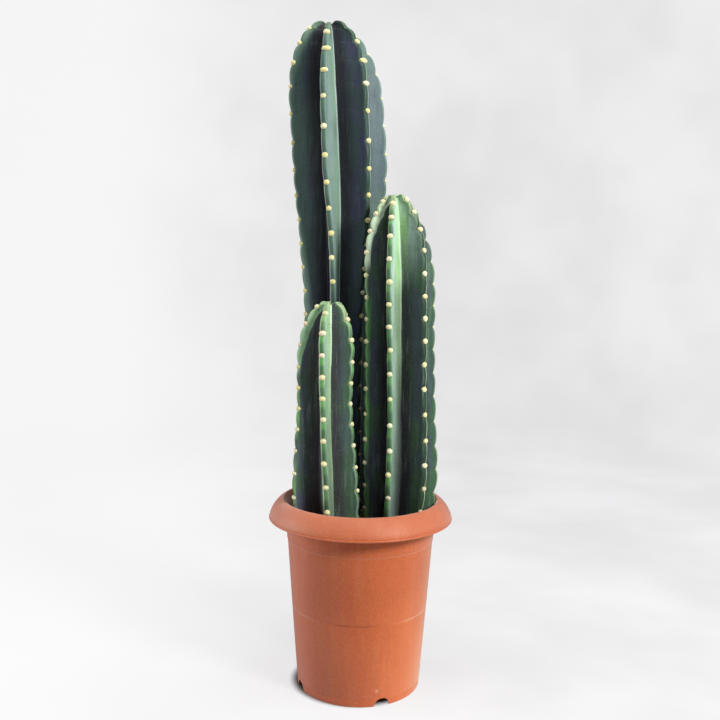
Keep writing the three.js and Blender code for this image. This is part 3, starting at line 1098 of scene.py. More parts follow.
@dataclass
class Stem:
    """One ribbed stem, from its tip down to its root in the soil.

    A depth is measured down from the tip. Down a rib, steps count the areoles passed. The skin is a
    net of rows, with the same count of rows on every rib.
    """

    node: str
    apex: float
    dome_length: float
    stations: tuple[Station, ...]
    spacings: tuple[Spacing, ...]
    ribs: tuple[Rib, ...]
    tone: Tone
    felt: Felt = Felt.CREAM
    foot_bloom: float = 0.8
    valley_fade: float = 0.0
    wide_depth: float = 30
    widest: float = 1.2
    bald: float = 5
    lift: float = 0.0
    seam_fade: float = 0.8
    knobs: float = 0.0
    base: float = 222.3
    shape: RibShape = RibShape()
    cushions: CushionShape = CushionShape()

    def __post_init__(self) -> None:
        """Works out where each rib's areoles begin, and how many steps every rib has."""
        reach = self.shape.button_reach
        self.length = self.apex - self.base
        self.first = self.steps_at(self.shape.first_depth)
        self.last = self.steps_at(self.length)
        highest = self.first + reach
        self.starts = [highest + fraction(self.steps_at(rib.areole) - highest) for rib in self.ribs]
        self.whole = min(math.floor(self.last - start - 2 * reach) for start in self.starts)
        self.rows = [self.rows_of(start) for start in self.starts]

    # Down the stem

    def stretches(self) -> Iterator[tuple[Spacing, Spacing, float, float]]:
        """The stretches between two spacings.

        Returns:
            For each, both spacings, how fast the step grows between them, and how many steps it holds.
        """
        for a, b in zip(self.spacings, self.spacings[1:]):
            growth = (b.step - a.step) / (b.depth - a.depth)
            count = math.log(b.step / a.step) / growth if growth else (b.depth - a.depth) / a.step
            yield a, b, growth, count

    def steps_at(self, depth: float) -> float:
        """How many steps lie over a depth.

        Args:
            depth: The depth under the tip.

        Returns:
            The steps, counted from the tip.
        """
        passed = 0.0
        for a, b, growth, count in self.stretches():
            if depth <= b.depth or b is self.spacings[-1]:
                over = depth - a.depth
                return passed + (math.log(1 + growth * over / a.step) / growth if growth else over / a.step)
            passed += count
        return passed

    def depth_at(self, steps: float) -> float:
        """The depth that a number of steps reaches.

        Args:
            steps: The steps, counted from the tip.

        Returns:
            The depth under the tip.
        """
        for a, b, growth, count in self.stretches():
            if steps <= count or b is self.spacings[-1]:
                over = a.step * math.expm1(growth * steps) / growth if growth else steps * a.step
                return a.depth + over
            steps -= count
        return self.spacings[-1].depth

    def step_at(self, depth: float) -> float:
        """How far apart the areoles lie at a depth.

        Args:
            depth: The depth under the tip.

        Returns:
            The length of a step there.
        """
        for a, b in zip(self.spacings, self.spacings[1:]):
            if depth <= b.depth:
                return lerp(a.step, b.step, (depth - a.depth) / (b.depth - a.depth))
        return self.spacings[-1].step

    def rows_of(self, start: float) -> list[float]:
        """A rib's rows, from the tip to the soil.

        Args:
            start: Where its first areole lies, in steps.

        Returns:
            Where its rows lie, in steps.
        """
        shape = self.shape
        tail = start + self.whole
        tip = [lerp(self.first, start, i / shape.tip_rows) for i in range(shape.tip_rows)]
        stops = shape.upper_stops + shape.lower_stops
        steps = [start + i + stop for i in range(self.whole) for stop in stops]
        foot = [lerp(tail, self.last, i / shape.foot_rows) for i in range(shape.foot_rows + 1)]
        return tip + steps + foot

    def is_last(self, row: int) -> bool:
        """Whether a row is the last one, which lies level at the soil."""
        return row == len(self.rows[0]) - 1

    def at(self, height: float) -> Station:
        """The stem at a height, on a smooth curve through its stations.

        Args:
            height: The height.

        Returns:
            The station there.
        """
        stations = self.stations
        last = len(stations) - 1
        i = next((n for n in range(last) if height >= stations[n + 1].height), last - 1)
        a, b = stations[i], stations[i + 1]
        before, after = stations[max(i - 1, 0)], stations[min(i + 2, last)]
        span = b.height - a.height
        t = clamp((height - a.height) / span)
        keep, go = 2 * t**3 - 3 * t**2 + 1, 3 * t**2 - 2 * t**3
        leave, arrive = (t**3 - 2 * t**2 + t) * span, (t**3 - t**2) * span

        def value(key: str) -> float:
            """One of the stations' numbers at the height.

            Args:
                key: The number's name.

            Returns:
                The number.
            """
            w, p, q, r = (getattr(station, key) for station in (before, a, b, after))
            start_slope = (w - q) / (before.height - b.height)
            end_slope = (p - r) / (a.height - after.height)
            return keep * p + leave * start_slope + go * q + arrive * end_slope

        return Station(height, value("x"), value("y"), value("radius"), value("turn"))

    def dome_at(self, depth: float, radius: float) -> Dome:
        """The tip's rounding at a depth.

        Args:
            depth: The depth under the tip.
            radius: The radius that the stem would have there without the rounding.

        Returns:
            The rounding.
        """
        fall = 1 - min(depth / self.dome_length, 1)
        share = math.sqrt(1 - fall * fall)
        out, up = share / radius, fall / self.dome_length
        length = math.hypot(out, up)
        return Dome(share, fall, out / length, up / length)

    def lifted(self, depth: float) -> float:
        """How far the skin is lifted at a depth."""
        return self.lift * math.exp(-depth / self.shape.lift_reach)

    def drooped(self, rib: Rib, depth: float) -> float:
        """How far a rib's crest droops at a depth."""
        return rib.droop * math.exp(-depth / self.shape.droop_reach)

    def sunk(self, depth: float, radius: float) -> float:
        """How far the skin lies down in the tip's hollow, at a depth and a distance from the axis."""
        return self.shape.bowl * clamp(1 - radius / self.shape.brim) ** 1.5 - self.lifted(depth)

    def place(self, depth: float, out: float, side: float, angle: float, up: float) -> Vector:
        """A point of the stem.

        Args:
            depth: The depth under the tip.
            out: How far it lies from the axis, along its direction.
            side: How far it lies to the right of that direction.
            angle: The direction, from the front.
            up: How far it lies over the depth.

        Returns:
            The point.
        """
        station = self.at(self.apex - depth)
        turn = math.radians(angle + station.turn)
        return Vector((
            station.x + out * math.sin(turn) + side * math.cos(turn),
            station.y - out * math.cos(turn) + side * math.sin(turn),
            station.height + up,
        ))

    # What the skin shows

    def bloom_share(self, depth: float) -> float:
        """How much of the bloom is left at a depth: all of it near the tip, and less near the soil."""
        return lerp(1, self.foot_bloom, clamp(depth / self.length))

    def tip_share(self, depth: float) -> float:
        """How much of a flank's paler or darker bloom at the tip is left at a depth."""
        return clamp(1.25 - depth / 90)

    def seam_share(self, depth: float) -> float:
        """How much of a groove's painted highlight is left at a depth."""
        return clamp(1.15 - depth / self.length * self.seam_fade)

    def faded(self, depth: float) -> float:
        """How much of the bloom is gone beside a groove at a depth."""
        return self.valley_fade * clamp(depth / self.length * 2.4 - 0.6)

    # The skin

    def crest(self, index: int, row: int, side: float) -> Vector:
        """A point across a rib's crest.

        Args:
            index: The rib.
            row: The row.
            side: From -1 at the crest's left edge to 1 at its right one.

        Returns:
            The point.
        """
        shape, rib = self.shape, self.ribs[index]
        steps = self.rows[index][row]
        depth = self.depth_at(steps)
        full = self.at(self.apex - depth).radius
        dome = self.dome_at(depth, full)
        radius = full * dome.share
        size = min(radius / shape.full_size, 1)
        share = fraction(steps - self.starts[index] + 1e-9)
        away = min(share, 1 - share) * self.step_at(depth)
        across = side * shape.crest_half_width
        seat = shape.seat_depth * math.exp(-(away**2 + across**2) / shape.seat_reach**2)
        knob = ((depth - shape.knob_depth) / shape.knob_reach) ** 2 + (away / shape.knob_width) ** 2
        seat += self.knobs * math.exp(-knob)
        proud = size * (shape.lobe(share) - shape.notch_depth - side**2 * shape.crest_drop - seat)
        out, angle = radius + proud * dome.out, rib.angle_at(depth)
        if self.is_last(row):
            return self.place(self.length, out, across * size, angle, 0)
        up = proud * dome.up - self.sunk(depth, radius) - self.drooped(rib, depth)
        return self.place(depth, out, across * size, angle, up)

    def groove(self, index: int, row: int, raised: float = 0.0) -> tuple[Vector, float]:
        """The bottom of the groove after a rib.

        Args:
            index: The rib.
            row: The row.
            raised: How far over its sharp bottom.

        Returns:
            The point, and how many steps down it lies.
        """
        shape, rib = self.shape, self.ribs[index]
        after = (index + 1) % len(self.ribs)
        gap = (self.ribs[after].angle - rib.angle) % 360
        steps = (self.rows[index][row] + self.rows[after][row]) / 2
        depth = self.depth_at(steps)
        full = self.at(self.apex - depth).radius
        dome = self.dome_at(depth, full)
        out, angle = (shape.groove_share * full + raised) * dome.share, rib.angle + gap * rib.valley
        if self.is_last(row):
            return self.place(self.length, out, 0, angle, 0), steps
        down = depth + shape.sink * dome.fall**4
        return self.place(down, out, 0, angle, -self.sunk(depth, full * dome.share)), steps

    def half(self, index: int, row: int, side: int) -> list[Spot]:
        """One side of a rib's section.

        Args:
            index: The rib.
            row: The row.
            side: -1 for the left side and 1 for the right one.

        Returns:
            The points from beside the crest's middle to beside the groove.
        """
        shape, rib = self.shape, self.ribs[index]
        steps = self.rows[index][row]
        depth = self.depth_at(steps)
        look = rib.left if side < 0 else rib.right
        # The bloom that this flank shows: the skin's wax, with more on flanks that face the key light, as
        # painted light
        bloom = look.bloom * self.bloom_share(depth) + look.tip * self.tip_share(depth)
        seam = look.seam * self.seam_share(depth)
        valley, valley_steps = self.groove(index if side > 0 else (index - 1) % len(self.ribs), row)
        corner = self.crest(index, row, side)
        down = valley - corner
        width = max(down.length, 1e-6)
        outwards = Vector((-down.y, down.x, 0)).normalized() * side
        start = min(shape.edge_rounding / width, shape.edge_limit)
        lobe = shape.lobe(fraction(steps - self.starts[index] + 1e-9)) / shape.lobe_height
        strip = look.band(depth) + shape.lobe_height * (lobe - shape.strip_lobe)
        swell = min(shape.flank_swell, shape.swell_limit * width)

        def on_flank(share: float) -> Vector:
            """A point on the flank, a share of the way down to the groove."""
            lobed = shape.flank_lobe * lobe * (1 - share) ** 2 * min(share * 8, 1)
            return corner + down * share + outwards * (4 * swell * share * (1 - share) + lobed)

        def spot(place: Vector, share: float, rise: float, wax_and_painted_light: float) -> Spot:
            """A point of this side, with what it shows.

            Args:
                place: The point.
                share: Its share of the way to the groove.
                rise: How far it lies from the crest's edge.
                wax_and_painted_light: How much bloom it has.

            Returns:
                The point's spot.
            """
            down_steps = lerp(steps, valley_steps, share) - self.starts[index]
            gap = width * (1 - share)
            return Spot(place, share, rise, gap, down_steps, depth, rib.green, wax_and_painted_light, look.line, seam, strip)

        half_width = shape.crest_half_width
        spots = []
        for stop in shape.crest_stops:
            place = self.crest(index, row, side * stop)
            spots.append(spot(place, 0.0, (stop - 1) * half_width, bloom * look.over * stop))
        inner, outer = spots[-1].place, on_flank(start)
        for stop in shape.edge_stops:
            bend = inner * (1 - stop) ** 2 + corner * 2 * stop * (1 - stop) + outer * stop**2
            rise = lerp((shape.crest_stops[-1] - 1) * half_width, shape.edge_rounding, stop)
            spots.append(spot(bend, start * stop, rise, bloom * lerp(look.over * 0.7, 1.0, stop)))
        faded = self.faded(depth)
        for stop in shape.flank_stops:
            share = lerp(start, 1, stop)
            left = (1 - faded * share) * (1 - look.fade * share)
            spots.append(spot(on_flank(share), share, share * width, bloom * left))
        return spots

    def section(self, row: int) -> list[Spot]:
        """Every point of one of the skin's rows.

        Args:
            row: The row.

        Returns:
            The points, rib after rib from the first one's left flank.
        """
        spots = []
        for index, rib in enumerate(self.ribs):
            steps = self.rows[index][row]
            depth = self.depth_at(steps)
            top = self.crest(index, row, 0)
            passed = steps - self.starts[index]
            both = (rib.left.bloom + rib.right.bloom) * self.shape.middle_bloom
            valley, valley_steps = self.groove(index, row, self.shape.groove_rounding)
            # The bloom at the groove: wax, with more after flanks that face the key light, as painted light
            bloom = rib.right.bloom * self.bloom_share(depth) * (1 - self.faded(depth))
            low = self.depth_at(valley_steps)
            seam = rib.right.seam * self.seam_share(low)
            spots += [
                *reversed(self.half(index, row, -1)),
                Spot(top, 0.0, -self.shape.crest_half_width, FAR, passed, depth, rib.green, both),
                *self.half(index, row, 1),
                Spot(valley, 1.0, FAR, 0.0, valley_steps, low, 0.0, bloom, 0.0, seam),
            ]
        return spots

    def root(self, like: Sequence[Spot], share: float, height: float) -> list[Spot]:
        """A row of the round root.

        Args:
            like: The row that its points are in line with.
            share: The share of the root's full radius.
            height: The row's height.

        Returns:
            The row's points.
        """
        foot = self.stations[-1]
        radius = self.shape.root_share * self.shape.groove_share * foot.radius * share
        spots = []
        for spot in like:
            way = Vector((spot.place.x - foot.x, spot.place.y - foot.y, 0)).normalized() * radius
            place = Vector((foot.x, foot.y, height)) + way
            spots.append(Spot(place, 1.0, FAR, FAR, spot.steps, spot.depth))
        return spots

    def skin(self) -> bpy.types.Object:
        """Builds the stem's skin, from a sphere whose points are laid on the rows.

        Returns:
            The stem's piece, without its areoles.
        """
        shape, foot = self.shape, self.stations[-1]
        end = self.base - shape.root_depth
        rows = [self.section(row) for row in range(len(self.rows[0]))]
        rows.append(self.root(rows[-1], 1.0, self.base))
        rows.append(self.root(rows[-1], shape.root_taper, end))
        tip = Spot(self.place(shape.sink, 0, 0, 0, self.lift - shape.bowl), 1.0, FAR, FAR, 0.0, 0.0)
        toe = Spot(Vector((foot.x, foot.y, end)), 1.0, FAR, FAR, 0.0, ROOT_END)
        columns, bands = len(rows[0]), len(rows) + 1
        bm = bmesh.new()
        bmesh.ops.create_uvsphere(bm, u_segments=columns, v_segments=bands, radius=1)
        layers = {name: bm.verts.layers.float.new(name) for name in SKIN_NUMBERS}
        for vert in bm.verts:
            band = round(math.atan2(math.hypot(vert.co.x, vert.co.y), vert.co.z) / math.pi * bands)
            column = round(math.atan2(vert.co.y, vert.co.x) / math.tau * columns) % columns
            spot = tip if band == 0 else toe if band == bands else rows[band - 1][column]
            vert.co = wander(spot.place)
            for name, layer in layers.items():
                vert[layer] = getattr(spot, name)
        bmesh.ops.recalc_face_normals(bm, faces=bm.faces)
        return piece_of(bm, self.node.replace("stem", "skin"), self.tone.value.material())

    # The areoles

    def cushion(self, index: int, count: int, draw: random.Random) -> Cushion | None:
        """One areole's cushion on the crest of a rib.

        Args:
            index: The rib.
            count: How many areoles lie over it on the rib.
            draw: The seeded source of its differences.

        Returns:
            The cushion, or None where it would lie in the bare tip.
        """
        kind, rib = self.cushions, self.ribs[index]
        depth = self.depth_at(self.starts[index] + count)
        spans = (kind.aside, kind.scale, kind.wide, kind.tall, kind.deep)
        aside, scale, wide, tall, deep = (draw.uniform(*span) for span in spans)
        if depth < max(self.bald, rib.bald):
            return None
        station = self.at(self.apex - depth)
        dome = self.dome_at(depth, station.radius)
        radius = station.radius * dome.share
        age = clamp((depth - kind.old_depth) / kind.old_reach)
        size = min(radius / self.shape.full_size, 1) * scale * lerp(1, kind.old_size, age) * rib.button
        swollen = (self.widest - 1) * math.exp(-(((depth - self.wide_depth) / kind.swell_reach) ** 2))
        sunk = size * (self.shape.notch_depth - kind.raised)
        aside += swollen * 2 + rib.aside
        up = self.lifted(depth) - self.drooped(rib, depth) - sunk * dome.up
        middle = self.place(depth, radius - sunk * dome.out, aside, rib.angle_at(depth), up)
        turn = math.radians(rib.angle_at(depth) + station.turn)
        outwards = Vector((dome.out * math.sin(turn), -dome.out * math.cos(turn), dome.up))
        sideways = Vector((math.cos(turn), math.sin(turn), 0))
        axes = Matrix((sideways, outwards.cross(sideways) * -1, outwards)).transposed()
        sizes = Vector((wide * (1 + swollen), tall, deep)) * size
        return Cushion(wander(middle), axes, sizes, clamp(1 - depth / kind.young_depth), age)

    def areoles(self, draw: random.Random) -> bpy.types.Object:
        """Builds the felt cushions on the stem's crests.

        Args:
            draw: The seeded source of their differences.

        Returns:
            One piece with all the stem's areoles.
        """
        kind = self.cushions
        bm = bmesh.new()
        youth, age, hollow = (bm.verts.layers.float.new(name) for name in ("youth", "age", "hollow"))
        for index in range(len(self.ribs)):
            for count in range(self.whole + 1):
                cushion = self.cushion(index, count, draw)
                if cushion is None:
                    continue
                for vert in bmesh.ops.create_icosphere(bm, subdivisions=2, radius=1)["verts"]:
                    way = vert.co.copy()
                    lump = 1 + kind.lumpiness * noise.noise(way * kind.lump_rate + cushion.middle)
                    vert[youth] = cushion.youth
                    vert[age] = cushion.age
                    # Where the cushion's painted shade lies
                    vert[hollow] = clamp(-way.y * 1.6 - 0.7) * clamp(1 - way.z)
                    vert.co = cushion.middle + cushion.axes @ (way * cushion.sizes * lump)
        return piece_of(bm, self.node.replace("stem", "areoles"), self.felt.value.material())

    def build(self, draw: random.Random) -> None:
        """Builds and dresses the stem's skin and its areoles."""
        dress(self.skin(), Slot.SKIN, self.node)
        dress(self.areoles(draw), Slot.SKIN)


def tall_stem() -> Stem:
    """The tall stem, at the back left.

    Returns:
        The stem.
    """
    return Stem(
        node="stem_tall",
        apex=862,
        dome_length=104,
        stations=(
            Station(862, -48.5, 34, 60, 7),
            Station(800, -42.7, 34, 60, -1.5),
            Station(732, -36.8, 35, 60.5, -6),
            Station(662, -32.5, 36, 60, -7),
            Station(582, -33.6, 37, 51.5, 0),
            Station(502, -35.4, 38.5, 44, 5),
            Station(400, -34.2, 40.5, 43, 2),
            Station(222, -32, 42.5, 41, 0),
        ),
        spacings=(
            Spacing(0, 10),
            Spacing(30, 23),
            Spacing(75, 29.5),
            Spacing(130, 37.5),
            Spacing(190, 33),
            Spacing(260, 30.5),
            Spacing(640, 30.5),
        ),
        # Bloom by side is painted light, lines are painted highlights, and a green under 0 is painted shade
        ribs=(
            Rib(-75, 190.9, Flank(0.1, 0.3), Flank(0.34, 0.2, tip=-0.3, fade=1.0), 1.0),
            Rib(-9.5, 177.5, Flank(0.0, 0.6), Flank(0.95, 0.0, 0.8), 0.6, 0.3, 5),
            Rib(45, 192.2, Flank(0.03, 0.0), Flank(0.8, 1.0, over=0.3), -0.85, bald=14, aside=1.4),
            Rib(97, 201.6, Flank(0.4, 0.2), Flank(0.5, 0.4), 0.8, aside=4.5, bald=14, button=0.72),
            Rib(160, 184, Flank(0.2, 0.5), Flank(0.6, 0.2, 0.4)),
            Rib(224, 178, Flank(0.15, 0.6), Flank(0.5, 0.3, 0.5)),
        ),
        tone=Tone.OLD,
        felt=Felt.YELLOW,
        foot_bloom=1.5,
        wide_depth=60,
        widest=1.8,
        bald=9,
        knobs=0.8,
        lift=-1,
    )


def middle_stem() -> Stem:
    """The middle stem, at the right.

    Returns:
        The stem.
    """
    return Stem(
        node="stem_middle",
        apex=638,
        dome_length=104,
        stations=(
            Station(638, 38, -18, 46, 9),
            Station(590, 41, -18, 46, 7),
            Station(520, 46, -18, 45, 0),
            Station(440, 47, -18, 45.5, 0),
            Station(360, 48.5, -18, 46.5, -0.5),
            Station(290, 50.8, -17.5, 48, -4),
            Station(255, 50, -17, 46.4, -5),
            Station(222, 47.7, -16, 43.5, -6.5),
        ),
        spacings=(
            Spacing(0, 9),
            Spacing(30, 21),
            Spacing(70, 28.5),
            Spacing(150, 27),
            Spacing(280, 33),
            Spacing(340, 29.5),
            Spacing(420, 30),
        ),
        # Bloom by side is painted light, lines are painted highlights, a green under 0 is painted shade,
        # and the first rib's band beside its crest is painted light
        ribs=(
            Rib(-74.5, 183.5, Flank(0.25, 0.4), Flank(0.06, 0.1, painted_lit_band=76, strip=4.5), 0.5, droop=4),
            Rib(-17, 191.5, Flank(0.0, 0.25), Flank(1.0, 0.0, 0.4), 1.0, 0.34, bend=-4.5),
            Rib(40, 180.6, Flank(0.05, 0.0, tip=0.45), Flank(0.4, 1.0, over=0.3), -0.9, aside=0.8),
            Rib(103, 194, Flank(0.0, 0.2), Flank(0.5, 0.4), 0.8, aside=4.5, button=0.72),
            Rib(163, 183, Flank(0.2, 0.4), Flank(0.6, 0.2, 0.4)),
            Rib(224, 176, Flank(0.15, 0.5), Flank(0.5, 0.3, 0.4)),
        ),
        tone=Tone.GROWN,
        foot_bloom=0.22,
        valley_fade=0.9,
        seam_fade=1.8,
        knobs=1.8,
        lift=3,
    )


def short_stem() -> Stem:
    """The short stem, at the front left.

    Returns:
        The stem.
    """
    return Stem(
        node="stem_short",
        apex=505,
        dome_length=78,
        stations=(
            Station(505, -40.8, -29, 40, -12),
            Station(460, -43.6, -29, 38, -6.5),
            Station(420, -45.6, -28.5, 36.5, -2.6),
            Station(375, -46.6, -28, 35.5, 1.8),
            Station(305, -45.8, -27, 40.6, 5.5),
            Station(262, -45.2, -26.5, 43.2, 8),
            Station(222, -42.8, -26, 42.5, 9),
        ),
        spacings=(
            Spacing(0, 14),
            Spacing(30, 25.5),
            Spacing(60, 27.8),
            Spacing(130, 25.5),
            Spacing(190, 28),
            Spacing(240, 31),
            Spacing(290, 31),
        ),
        # Bloom by side is painted light, lines are painted highlights, and the first rib's band is painted
        # light
        ribs=(
            Rib(-75.8, 188.9, Flank(0.3, 0.6), Flank(0.06, 0.1, painted_lit_band=100, strip=1.5), 0.5),
            Rib(-4.2, 171.7, Flank(0.0, 0.6), Flank(0.95, 0.0, 0.7), 1.0, 0.42),
            Rib(67.9, 181.2, Flank(0.05, 0.2, over=1.0), Flank(0.6, 0.5, over=1.0), 0.9),
            Rib(137, 175, Flank(0.2, 0.4), Flank(0.6, 0.2, 0.4)),
            Rib(208, 184, Flank(0.15, 0.4), Flank(0.5, 0.3, 0.4)),
        ),
        tone=Tone.YOUNG,
        foot_bloom=0.28,
        seam_fade=2.2,
        knobs=0.8,
        lift=2.5,
    )


# The soil


@dataclass(frozen=True)
class Soil:
    """The potting mix with its lumps and grains, and the crumbs and chips of bark that lie on it."""

    pot: Pot
    plants: Sequence[Stem]
    top: float = 222
    rise: float = 3
    shoulder: float = 12
    gap: float = 0.3
    rounding: float = 4
    rings: int = 46
    round_steps: int = 150
    lump_size: float = 11
    lump_height: float = 1.6
    grain_size: float = 3.4
    settling: float = 1.2
    crumbs: int = 420
    crumb_sizes: Point = (0.7, 2.6)
    crumb_flatness: Point = (0.35, 0.9)
    crumb_tilts: Point = (-0.5, 0.5)
    crumb_length: float = 1.5
    crumb_edge: float = 5
    stem_share: float = 0.45

    def height_at(self, radius: float) -> float:
        """The even height of the soil's surface at a distance from the pot's axis."""
        edge = self.pot.inside_radius(self.top - self.rise)
        return self.top - self.rise * clamp((radius - edge + self.shoulder) / self.shoulder)

    def body(self) -> bpy.types.Object:
        """Builds the soil's body, with a crumbly surface.

        Returns:
            The soil's piece, without its loose crumbs.
        """
        pot = self.pot
        bottom = pot.floor_height + pot.wall + self.gap
        low = bottom + self.rounding
        edge = pot.inside_radius(self.top - self.rise) - self.gap
        radii = [edge * (1 - i / self.rings) for i in range(self.rings + 1)]
        profile = [
            (0.0, bottom),
            (pot.inside_radius(bottom) - self.rounding, bottom),
            (pot.inside_radius(low) - self.gap, low),
            (pot.inside_radius(pot.belt_height) - self.gap, pot.belt_height),
            *((radius, self.height_at(radius)) for radius in radii),
        ]
        bm = spun(profile, self.round_steps)
        for vert in bm.verts:
            reach = math.hypot(vert.co.x, vert.co.y)
            if vert.co.z > self.top - self.rise - 1 and reach < edge - 0.5:
                lumps = noise.noise(vert.co / self.lump_size) * self.lump_height
                grains = noise.noise(vert.co / self.grain_size + Vector((2, 9, 4)))
                vert.co.z += lumps + grains - self.settling
        return piece_of(bm, "potting_mix", PottingMix("potting_mix", 0.1).material(), 60)

    def loose(self, draw: random.Random) -> bpy.types.Object:
        """Builds the crumbs and chips that lie on the soil.

        Args:
            draw: The seeded source of their places and differences.

        Returns:
            One piece with all of them.
        """
        bm = bmesh.new()
        limit = self.pot.inside_radius(self.top) - self.crumb_edge
        stations = [stem.stations[-1] for stem in self.plants]
        feet = [(Vector((foot.x, foot.y, 0)), foot.radius * self.stem_share) for foot in stations]
        for _ in range(self.crumbs):
            radius = limit * math.sqrt(draw.random())
            angle = draw.uniform(0, math.tau)
            place = Vector((radius * math.cos(angle), radius * math.sin(angle), 0))
            size, flat, tilt = (
                draw.uniform(*span) for span in (self.crumb_sizes, self.crumb_flatness, self.crumb_tilts)
            )
            if any((place - foot).length < reach for foot, reach in feet):
                continue
            place.z = self.height_at(radius) - 0.4 + size * flat * 0.3
            turn = Matrix.Rotation(angle * 5, 3, "Z") @ Matrix.Rotation(tilt, 3, "X")
            for vert in bmesh.ops.create_icosphere(bm, subdivisions=1, radius=1)["verts"]:
                lump = 1 + 0.35 * noise.noise(vert.co * 1.3 + place)
                way = Vector((vert.co.x * self.crumb_length, vert.co.y, vert.co.z * flat))
                vert.co = place + turn @ (way * size * lump)
        return piece_of(bm, "soil_crumbs", PottingMix("soil_crumbs", 0.8).material(), 50)

    def build(self) -> None:
        """Builds and dresses the soil."""
        dress(self.body(), Slot.SOIL, "soil")
        dress(self.loose(random.Random(SOIL_SEED)), Slot.SOIL)


# The studio


@dataclass(frozen=True)
class Softbox:
    """A square soft light, placed round the plant and aimed at a height of its axis."""

    name: str
    azimuth: float
    elevation: float
    distance: float
    side: float
    power: float
    colour: Triple
    aim: float

    def build(self) -> None:
        """Adds the light."""
        a, e = math.radians(self.azimuth), math.radians(self.elevation)
        way = Vector((math.sin(a) * math.cos(e), -math.cos(a) * math.cos(e), math.sin(e)))
        data = bpy.data.lights.new(self.name, "AREA")
        data.shape = "SQUARE"
        data.size = self.side
        data.energy = self.power
        data.color = self.colour
        light = bpy.data.objects.new(self.name, data)
        light.location = Vector((0, 0, self.aim)) + way * self.distance
        light.rotation_mode = "QUATERNION"
        light.rotation_quaternion = (-way).to_track_quat("-Z", "Y")
        light.visible_camera = False
        bpy.context.scene.collection.objects.link(light)


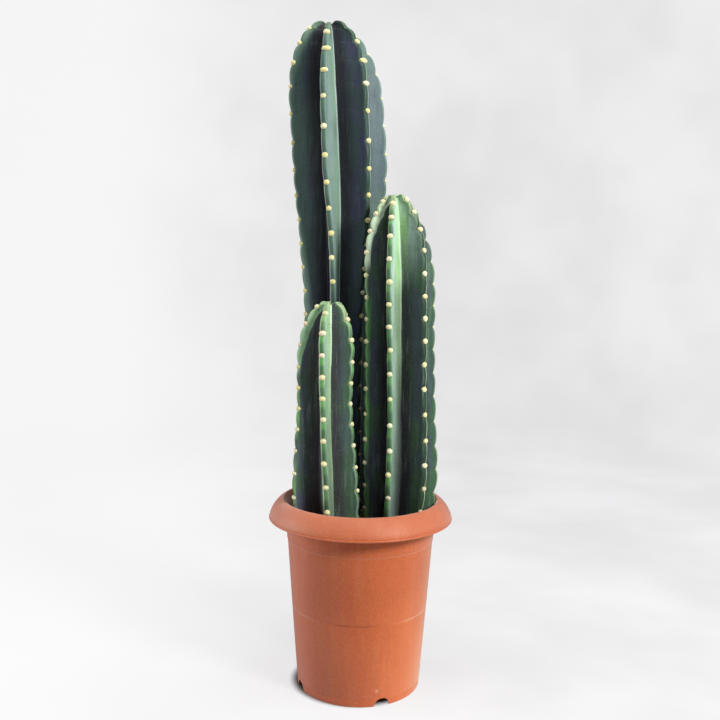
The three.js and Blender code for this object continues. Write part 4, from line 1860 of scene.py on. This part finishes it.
@dataclass(frozen=True)
class Studio:
    """A plain pale floor that fades into a pale backdrop, soft lights and the camera.

    Both papers grow lighter towards the left. The floor glows for the camera, and less for the light
    that it throws on the plant, except in a sunlit place at the right of the pot. Under and just round
    the pot's foot it doesn't glow, which paints the pot's contact shadow on the floor.
    """

    paper: Triple = (0.86, 0.86, 0.87)
    shade: Triple = (0.75, 0.745, 0.755)
    lit: Triple = (0.93, 0.93, 0.935)
    backdrop_radius: float = 6.0
    backdrop_lit: Point = (-0.75, -1.9)
    floor_radius: float = 2.4
    floor_fade: Point = (0.9, 2.28)
    floor_lit: Point = (0.12, -0.5)
    ground: Triple = (0.17, 0.17, 0.175)
    foot_middle: Triple = (-0.006, 0.003, 0.0)
    # Where the floor's painted contact shadow round the pot's foot fades out, in metres
    painted_shadow_reach: Point = (0.074, 0.088)
    glow: float = 0.885
    bounce: float = 0.45
    sunlit_bounce: float = 2.2
    sunlight: Triple = (0.9, 0.8, 0.36)
    sunlit_place: Triple = (0.17, -0.1, 0.0)
    sunlit_reach: Point = (0.2, 0.04)
    ambient: Triple = (0.8, 0.88, 1.0)
    ambient_strength: float = 0.15
    lights: tuple[Softbox, ...] = (
        Softbox("key", 46, 26, 1.8, 0.44, 33, (1.0, 0.985, 0.95), 0.42),
        Softbox("top", 30, 80, 1.6, 0.9, 13, (1.0, 0.99, 0.97), 0.3),
        Softbox("left_wall", -100, 5, 2.7, 1.75, 58, (1.0, 0.93, 0.87), 0.3),
    )
    focal_length: float = 44.285
    sensor_width: float = 36
    camera_place: Triple = (0.0, -1.137, 0.541)
    pitch: float = 0.099
    roll: float = 0.014
    yaw: float = -0.003

    def paper_colour(self, shader: Shader, clouds: Value, lit: Point) -> Socket:
        """A paper's faintly uneven white, which grows lighter from one X to another."""
        lighter = shader.band(shader.along("X"), *lit, 0.9)
        return shader.coated(self.shade, (shader.band(clouds, 0.3, 0.7), self.paper), (lighter, self.lit))

    def backdrop(self) -> None:
        """Adds the dome that the camera sees behind everything, which lights nothing."""
        shader = Shader("backdrop")
        colour = self.paper_colour(shader, shader.noise(1500, detail=3, roughness=0.6), self.backdrop_lit)
        material = shader.finish(shader.node("Emission", {"Color": colour}))
        bm = bmesh.new()
        bmesh.ops.create_uvsphere(bm, u_segments=48, v_segments=24, radius=self.backdrop_radius / MM)
        dome = piece_of(bm, "backdrop", material)
        dome.visible_diffuse = dome.visible_glossy = dome.visible_shadow = False

    def floor(self) -> None:
        """Adds the floor, which takes the shadows and fades out far from the pot."""
        shader = Shader("floor")
        colour = self.paper_colour(shader, shader.noise(420, detail=3, roughness=0.55), self.floor_lit)
        away = shader.away(self.foot_middle)
        bounced = shader.node("LightPath").outputs["Is Diffuse Ray"]
        sunlit = shader.times(bounced, shader.band(shader.away(self.sunlit_place), *self.sunlit_reach))
        even = shader.band(bounced, 0, 1, self.bounce, low=self.glow)
        glow = shader.maths(Maths.ADD, even, shader.times(sunlit, self.sunlit_bounce))
        ground = shader.node("BsdfPrincipled", {
            "Base Color": self.ground,
            "Roughness": 1.0,
            "Specular IOR Level": 0.0,
            "Emission Color": shader.coated(colour, (sunlit, self.sunlight)),
            # Painted contact shadow: no glow under and just round the pot's foot
            "Emission Strength": shader.times(shader.band(away, *self.painted_shadow_reach), glow),
        })
        gone = shader.node("BsdfTransparent")
        fade = shader.band(away, *self.floor_fade)
        mixed = shader.node("MixShader", {0: fade, 1: ground.outputs[0], 2: gone.outputs[0]})
        bm = bmesh.new()
        bmesh.ops.create_circle(bm, cap_ends=True, segments=128, radius=self.floor_radius / MM)
        floor = piece_of(bm, "floor", shader.finish(mixed))
        floor.visible_glossy = False

    def world(self) -> None:
        """Sets the even light from all round."""
        world = bpy.data.worlds.new("soft_light")
        world.use_nodes = True
        sky = world.node_tree.nodes["Background"]
        sky.inputs["Color"].default_value = (*self.ambient, 1.0)
        sky.inputs["Strength"].default_value = self.ambient_strength
        bpy.context.scene.world = world

    def camera(self) -> None:
        """Adds the camera at the photograph's place and angle."""
        data = bpy.data.cameras.new("camera")
        data.lens = self.focal_length
        data.sensor_width = self.sensor_width
        camera = bpy.data.objects.new("camera", data)
        level = Vector((math.cos(self.yaw), -math.sin(self.yaw), 0))
        forward = Vector((
            math.sin(self.yaw) * math.cos(self.pitch),
            math.cos(self.yaw) * math.cos(self.pitch),
            -math.sin(self.pitch),
        ))
        upright = level.cross(forward)
        right = level * math.cos(self.roll) + upright * math.sin(self.roll)
        up = upright * math.cos(self.roll) - level * math.sin(self.roll)
        turn = Matrix((right, up, -forward)).transposed()
        camera.matrix_world = Matrix.Translation(self.camera_place) @ turn.to_4x4()
        bpy.context.scene.collection.objects.link(camera)
        bpy.context.scene.camera = camera

    def build(self) -> None:
        """Adds the camera, the stage and the lights, with plain display colours."""
        self.camera()
        self.backdrop()
        self.floor()
        self.world()
        for light in self.lights:
            light.build()
        bpy.context.scene.view_settings.view_transform = "Standard"


def main() -> None:
    """Builds the studio, the pot, the soil and the stems in order, and notes the sizes."""
    logging.basicConfig(level=logging.INFO, format="%(message)s")
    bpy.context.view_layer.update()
    Studio().build()
    pot = Pot()
    pot.build()
    stems = [tall_stem(), middle_stem(), short_stem()]
    Soil(pot, stems).build()
    draw = random.Random(AREOLE_SEED)
    noise.seed_set(WANDER_SEED)
    for stem in stems:
        stem.build(draw)


if __name__ == "__main__":
    main()
